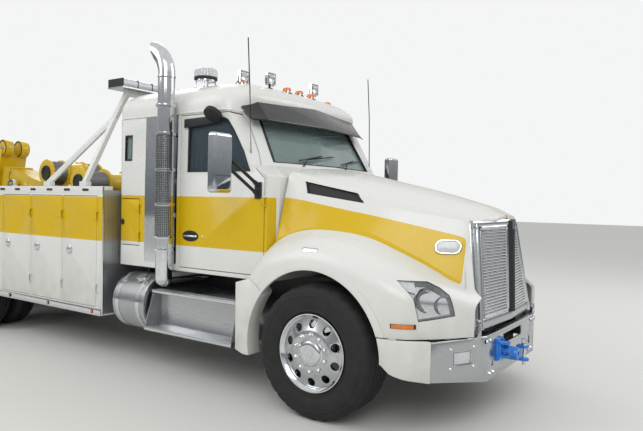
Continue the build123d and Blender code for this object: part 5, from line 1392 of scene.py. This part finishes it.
for side, word in ((-1, "right"), (1, "left")):
    eased(f"body_{word}", body_enamel, 0.004)
    out = Vector((0, side, 0))
    skin_y = side * 1.222
    for number in range(3):
        body = f"tool_door_{number + 1}_{word}"
        eased(body, body_enamel, 0.003)
        rear_x = -3.300 - 0.620 * number
        latch, paddle, rubber = bmesh.new(), bmesh.new(), bmesh.new()
        at = truck(rear_x + 0.130, skin_y + side * 0.008, 1.120)
        loft(latch, [ring_at(at, out, radius, up, 36) for radius, up in (
            (0.047, -0.006), (0.047, 0.002), (0.043, 0.005), (0.037, 0.004), (0.034, -0.002),
            (0.001, -0.003))])
        bar_between(paddle, at + Vector((-0.026, 0, 0.006)), at + Vector((0.026, 0, 0.006)), out,
                    0.012, 0.006, 6, 0.5)
        screw(paddle, at + Vector((0, 0, -0.018)), out, 0.006, 0.004, 12)
        # weather seal showing as a dark line in the door's gap
        barred(rubber, [truck(rear_x + x, skin_y - side * 0.014, z) for x, z in (
            (0.003, 0.559), (0.597, 0.559), (0.597, 1.687), (0.003, 1.687))], 0.0024, 6)
        make_piece(latch, f"locker_latch_{number + 1}_{word}", chrome, body)
        make_piece(paddle, f"locker_paddle_{number + 1}_{word}", stainless, body)
        make_piece(rubber, f"locker_seal_{number + 1}_{word}", black_plastic, "chassis")
    # patterned plate on the locker's front face with its edging, and the mud flap
    plate, edging, lamps, rims, slot_rims, slot_shade_patches, lip, flap = [bmesh.new() for _ in range(8)]
    bar_between(plate, truck(-2.6095, side * 0.64, 1.12), truck(-2.6095, side * 1.206, 1.12),
                forward, 0.628, 0.003, 4, 0.002)
    bar_between(edging, truck(-2.612, side * 1.214, 0.478), truck(-2.612, side * 1.214, 1.784),
                Vector((0.7, side * 0.7, 0)), 0.010, 0.008, 6, 0.6)
    bar_between(flap, truck(-7.235, side * 0.66, 0.40), truck(-7.235, side * 1.20, 0.40), forward,
                0.22, 0.010, 4, 0.01)
    for x in (-2.75, -3.55, -4.35):
        at = truck(x, side * 1.2335, 0.510)
        tube(lamps, [at, at + out * 0.006, at + out * 0.010], 0.016, 20)
        tube(rims, [at, at + out * 0.004], 0.022, 20)
    # tie slots along the top rail, each with a rolled edge and a flat black patch in it as painted
    # shade of the hole
    for n in range(14):
        line = circle(0.045, 0, 0.016, 9, -math.pi / 2, math.pi) + circle(
            -0.045, 0, 0.016, 9, math.pi / 2, math.pi)
        loop = [truck(-2.90 - 0.33 * n + x, skin_y + side * 0.0005, 1.749 + z) for x, z in line]
        tube(slot_rims, loop + loop[:1], 0.0035, 6)
        for depth in (0, 0.004):
            slot_shade_patches.faces.new([slot_shade_patches.verts.new(p - out * depth) for p in loop])
    # rolled bright lip of the opening over the tandem wheels
    tube(lip, [truck(x, skin_y - side * 0.002, z) for x, z in (
        (-4.700, 0.480), (-4.700, 0.860), (-4.900, 1.120), (-7.015, 1.120), (-7.215, 0.860),
        (-7.215, 0.480))], 0.010, 8)
    for build, name, finish, width in (
            (plate, "body_front_plate", tread_plate, 0.0),
            (edging, "body_corner_trim", chrome, 0.0),
            (lamps, "rub_rail_lamps", amber_lens, 0.001),
            (rims, "rub_rail_lamp_rims", black_plastic, 0.001),
            (slot_rims, "rail_slot_rims", plain_enamel, 0.0),
            (slot_shade_patches, "rail_slot_painted_shade", chassis_black, 0.0),
            (lip, "wheel_opening_lip", stainless, 0.0), (flap, "mud_flap", tyre_rubber, 0.003)):
        make_piece(build, f"{name}_{word}", finish, "chassis", width)
eased("top_rails", plain_enamel, 0.004)
eased("rub_rails", chrome, 0.004)
eased("deck", tread_plate, 0.002)
eased("fender_trim", plain_enamel, 0.004)


# Tailboard
# White steel board across the back with round-cornered lamps in rubber
# grommets, and the jack legs' sleeves and pads.

# red moulded lens, clear and glossy
red_lens = worn_finish("red_lens", "#A81414", "#7E0D0D", 0.12, 0.1, 0.0, 60.0, coat=0.5)
eased("tailboard", plain_enamel, 0.005)
reds, ambers, clears, grommets = bmesh.new(), bmesh.new(), bmesh.new(), bmesh.new()
for side in (-1, 1):
    for y, build in ((0.953, clears), (1.048, ambers), (1.143, reds)):
        at = truck(-7.410, side * y, 0.930)
        tube(build, [at, at - forward * 0.018, at - forward * 0.026], 0.036, 28)
        tube(grommets, [at, at - forward * 0.012], 0.042, 28)
make_piece(reds, "stop_lamps", red_lens, "chassis", 0.003, "lamp_glass", ("rear_lamps",))
make_piece(ambers, "rear_turn_lamps", amber_lens, "chassis", 0.003)
make_piece(clears, "reversing_lamps", frosted_lens, "chassis", 0.003)
make_piece(grommets, "rear_lamp_grommets", black_plastic, "chassis", 0.002)


# Boom, winches and lift cylinders
# Welded box beams in golden enamel on a turret, with grease-nippled pins,
# steel rope laid on the winch drums.
BOOM_ANGLE = math.radians(14)

# golden enamel on welded plate: glossy, duller where it has weathered
gold_enamel = worn_finish("gold_enamel_on_steel", GOLD, "#B58E00", 0.3, 0.2, 0.0, 5.0, coat=0.4,
                          mix=(0.5, 0.9))
# galvanised rope: dull zinc with old grease between the strands
wire_rope = worn_finish("galvanised_wire_rope", "#8A8C8E", "#5D5A54", 0.45, 0.25, 1.0, 300.0)


def along_boom(distance, y=0.0, up=0.0):
    """Place at a distance along the boom's axis, up from it and out to one side."""
    return truck(-4.500 - distance * math.cos(BOOM_ANGLE) + up * math.sin(BOOM_ANGLE), y,
                 1.430 + distance * math.sin(BOOM_ANGLE) + up * math.cos(BOOM_ANGLE))


for node in ("boom", "boom_inner", "boom_turret"):
    eased(node, gold_enamel, 0.006, 0.0, 30)

# rope wound on each half drum, laid side by side, with its hub ends dark
for name, body, centre, halves, radius, end in (
        ("winch", "chassis", truck(-4.100, 0, 1.860), ((-0.500, -0.175), (0.175, 0.500)), 0.130,
         0.520),
        ("boom_drum", "boom", along_boom(0.670, 0, 0.185 + 0.225),
         ((-0.362, -0.168), (0.168, 0.362)), 0.150, 0.380)):
    rope, hubs = bmesh.new(), bmesh.new()
    for low, high in halves:
        quarters = int((high - low) / 0.0165) * 4
        lathe(rope, [(radius + 0.004 + 0.0065 * abs(math.sin(math.pi * n / 4)),
                      low + (high - low) * n / quarters) for n in range(quarters + 1)],
              centre, 1, 40)
    for side in (-1, 1):
        out = Vector((0, side, 0))
        at = Vector((centre.x, side * end, centre.z))
        loft(hubs, [ring_at(at, out, r, up, 32) for r, up in (
            (0.100, 0.0), (0.098, 0.018), (0.070, 0.022), (0.066, 0.014), (0.001, 0.013))])
        for x, z in circle(0, 0, 0.084, 8):
            screw(hubs, at + Vector((x, side * 0.018, z)), out, 0.008, 0.008)
    make_piece(rope, f"{name}_rope", wire_rope, body)
    make_piece(hubs, f"{name}_hubs", chassis_black, body)

# doublers and pin plates with their bolts, the collar, and the head's two sheaves
doublers, bolts, collar, sheave_rims, head_bolts = [bmesh.new() for _ in range(5)]
head = along_boom(2.270, 0, 0.155 + 0.275)
for side in (-1, 1):
    out = Vector((0, side, 0))
    for start, end, half in ((0.20, 0.62, 0.11), (1.45, 1.93, 0.12)):
        bar_between(doublers, along_boom(start, side * 0.170), along_boom(end, side * 0.170), out,
                    half, 0.004, 4, 0.06)
    for place in ((1.97, side * 0.176, 0.13), (1.97, side * 0.176, 0.0),
                  (1.97, side * 0.176, -0.13), (1.70, side * 0.29)):
        screw(bolts, along_boom(*place), out, 0.016, 0.014)
    for y in (0.060, 0.180):
        ring = [head + Vector((x, side * y, z)) for x, z in circle(0, 0, 0.112, 40)]
        tube(sheave_rims, ring + ring[:1], 0.010, 8)
    screw(head_bolts, head + Vector((0, side * 0.180, 0)), out, 0.030, 0.016)
    for up in (-0.16, 0.05, 0.26):
        screw(head_bolts, along_boom(2.30, side * 0.200, up), out, 0.014, 0.010)
barred(collar, [along_boom(1.990, y, up) for y, up in (
    (-0.176, -0.191), (0.176, -0.191), (0.176, 0.191), (-0.176, 0.191))], 0.012, 10)
make_piece(doublers, "boom_doublers", gold_enamel, "boom", 0.002)
make_piece(bolts, "boom_bolts", chrome, "boom")
make_piece(collar, "boom_collar", gold_enamel, "boom")
make_piece(sheave_rims, "head_sheave_rims", chassis_black, "boom_inner")
make_piece(head_bolts, "boom_head_bolts", chrome, "boom_inner")


# Underlift
# A folding arm of welded box section behind the tailboard, with a sliding
# stage and a pivoting crossbar for the towed vehicle's forks.
for node in ("underlift_arm", "underlift_crossbar", "underlift_stage"):
    eased(node, gold_enamel, 0.006, 0.0, 30)


# Finish of what still shows as the CAD model made it
# Hidden or plain solids that need no other form than their own.

# oily cast iron: dark, rough from the sand mould
cast_iron = worn_finish("oily_cast_iron", "#35332F", "#5A4D3F", 0.5, 0.3, 0.3, 18.0,
                        depth=0.001, detail=8.0)
LEFT_AS_MADE = {
    "frame_rails": chassis_black, "front_axle": chassis_black, "rear_axles": chassis_black,
    "knuckle_left": chassis_black, "knuckle_right": chassis_black, "engine": cast_iron,
    "lift_barrels": chassis_black, "lift_rods": chrome, "underlift_mast": chassis_black,
}
for node, finish in LEFT_AS_MADE.items():
    frame["nodes"][node].data.materials.clear()
    frame["nodes"][node].data.materials.append(finish)
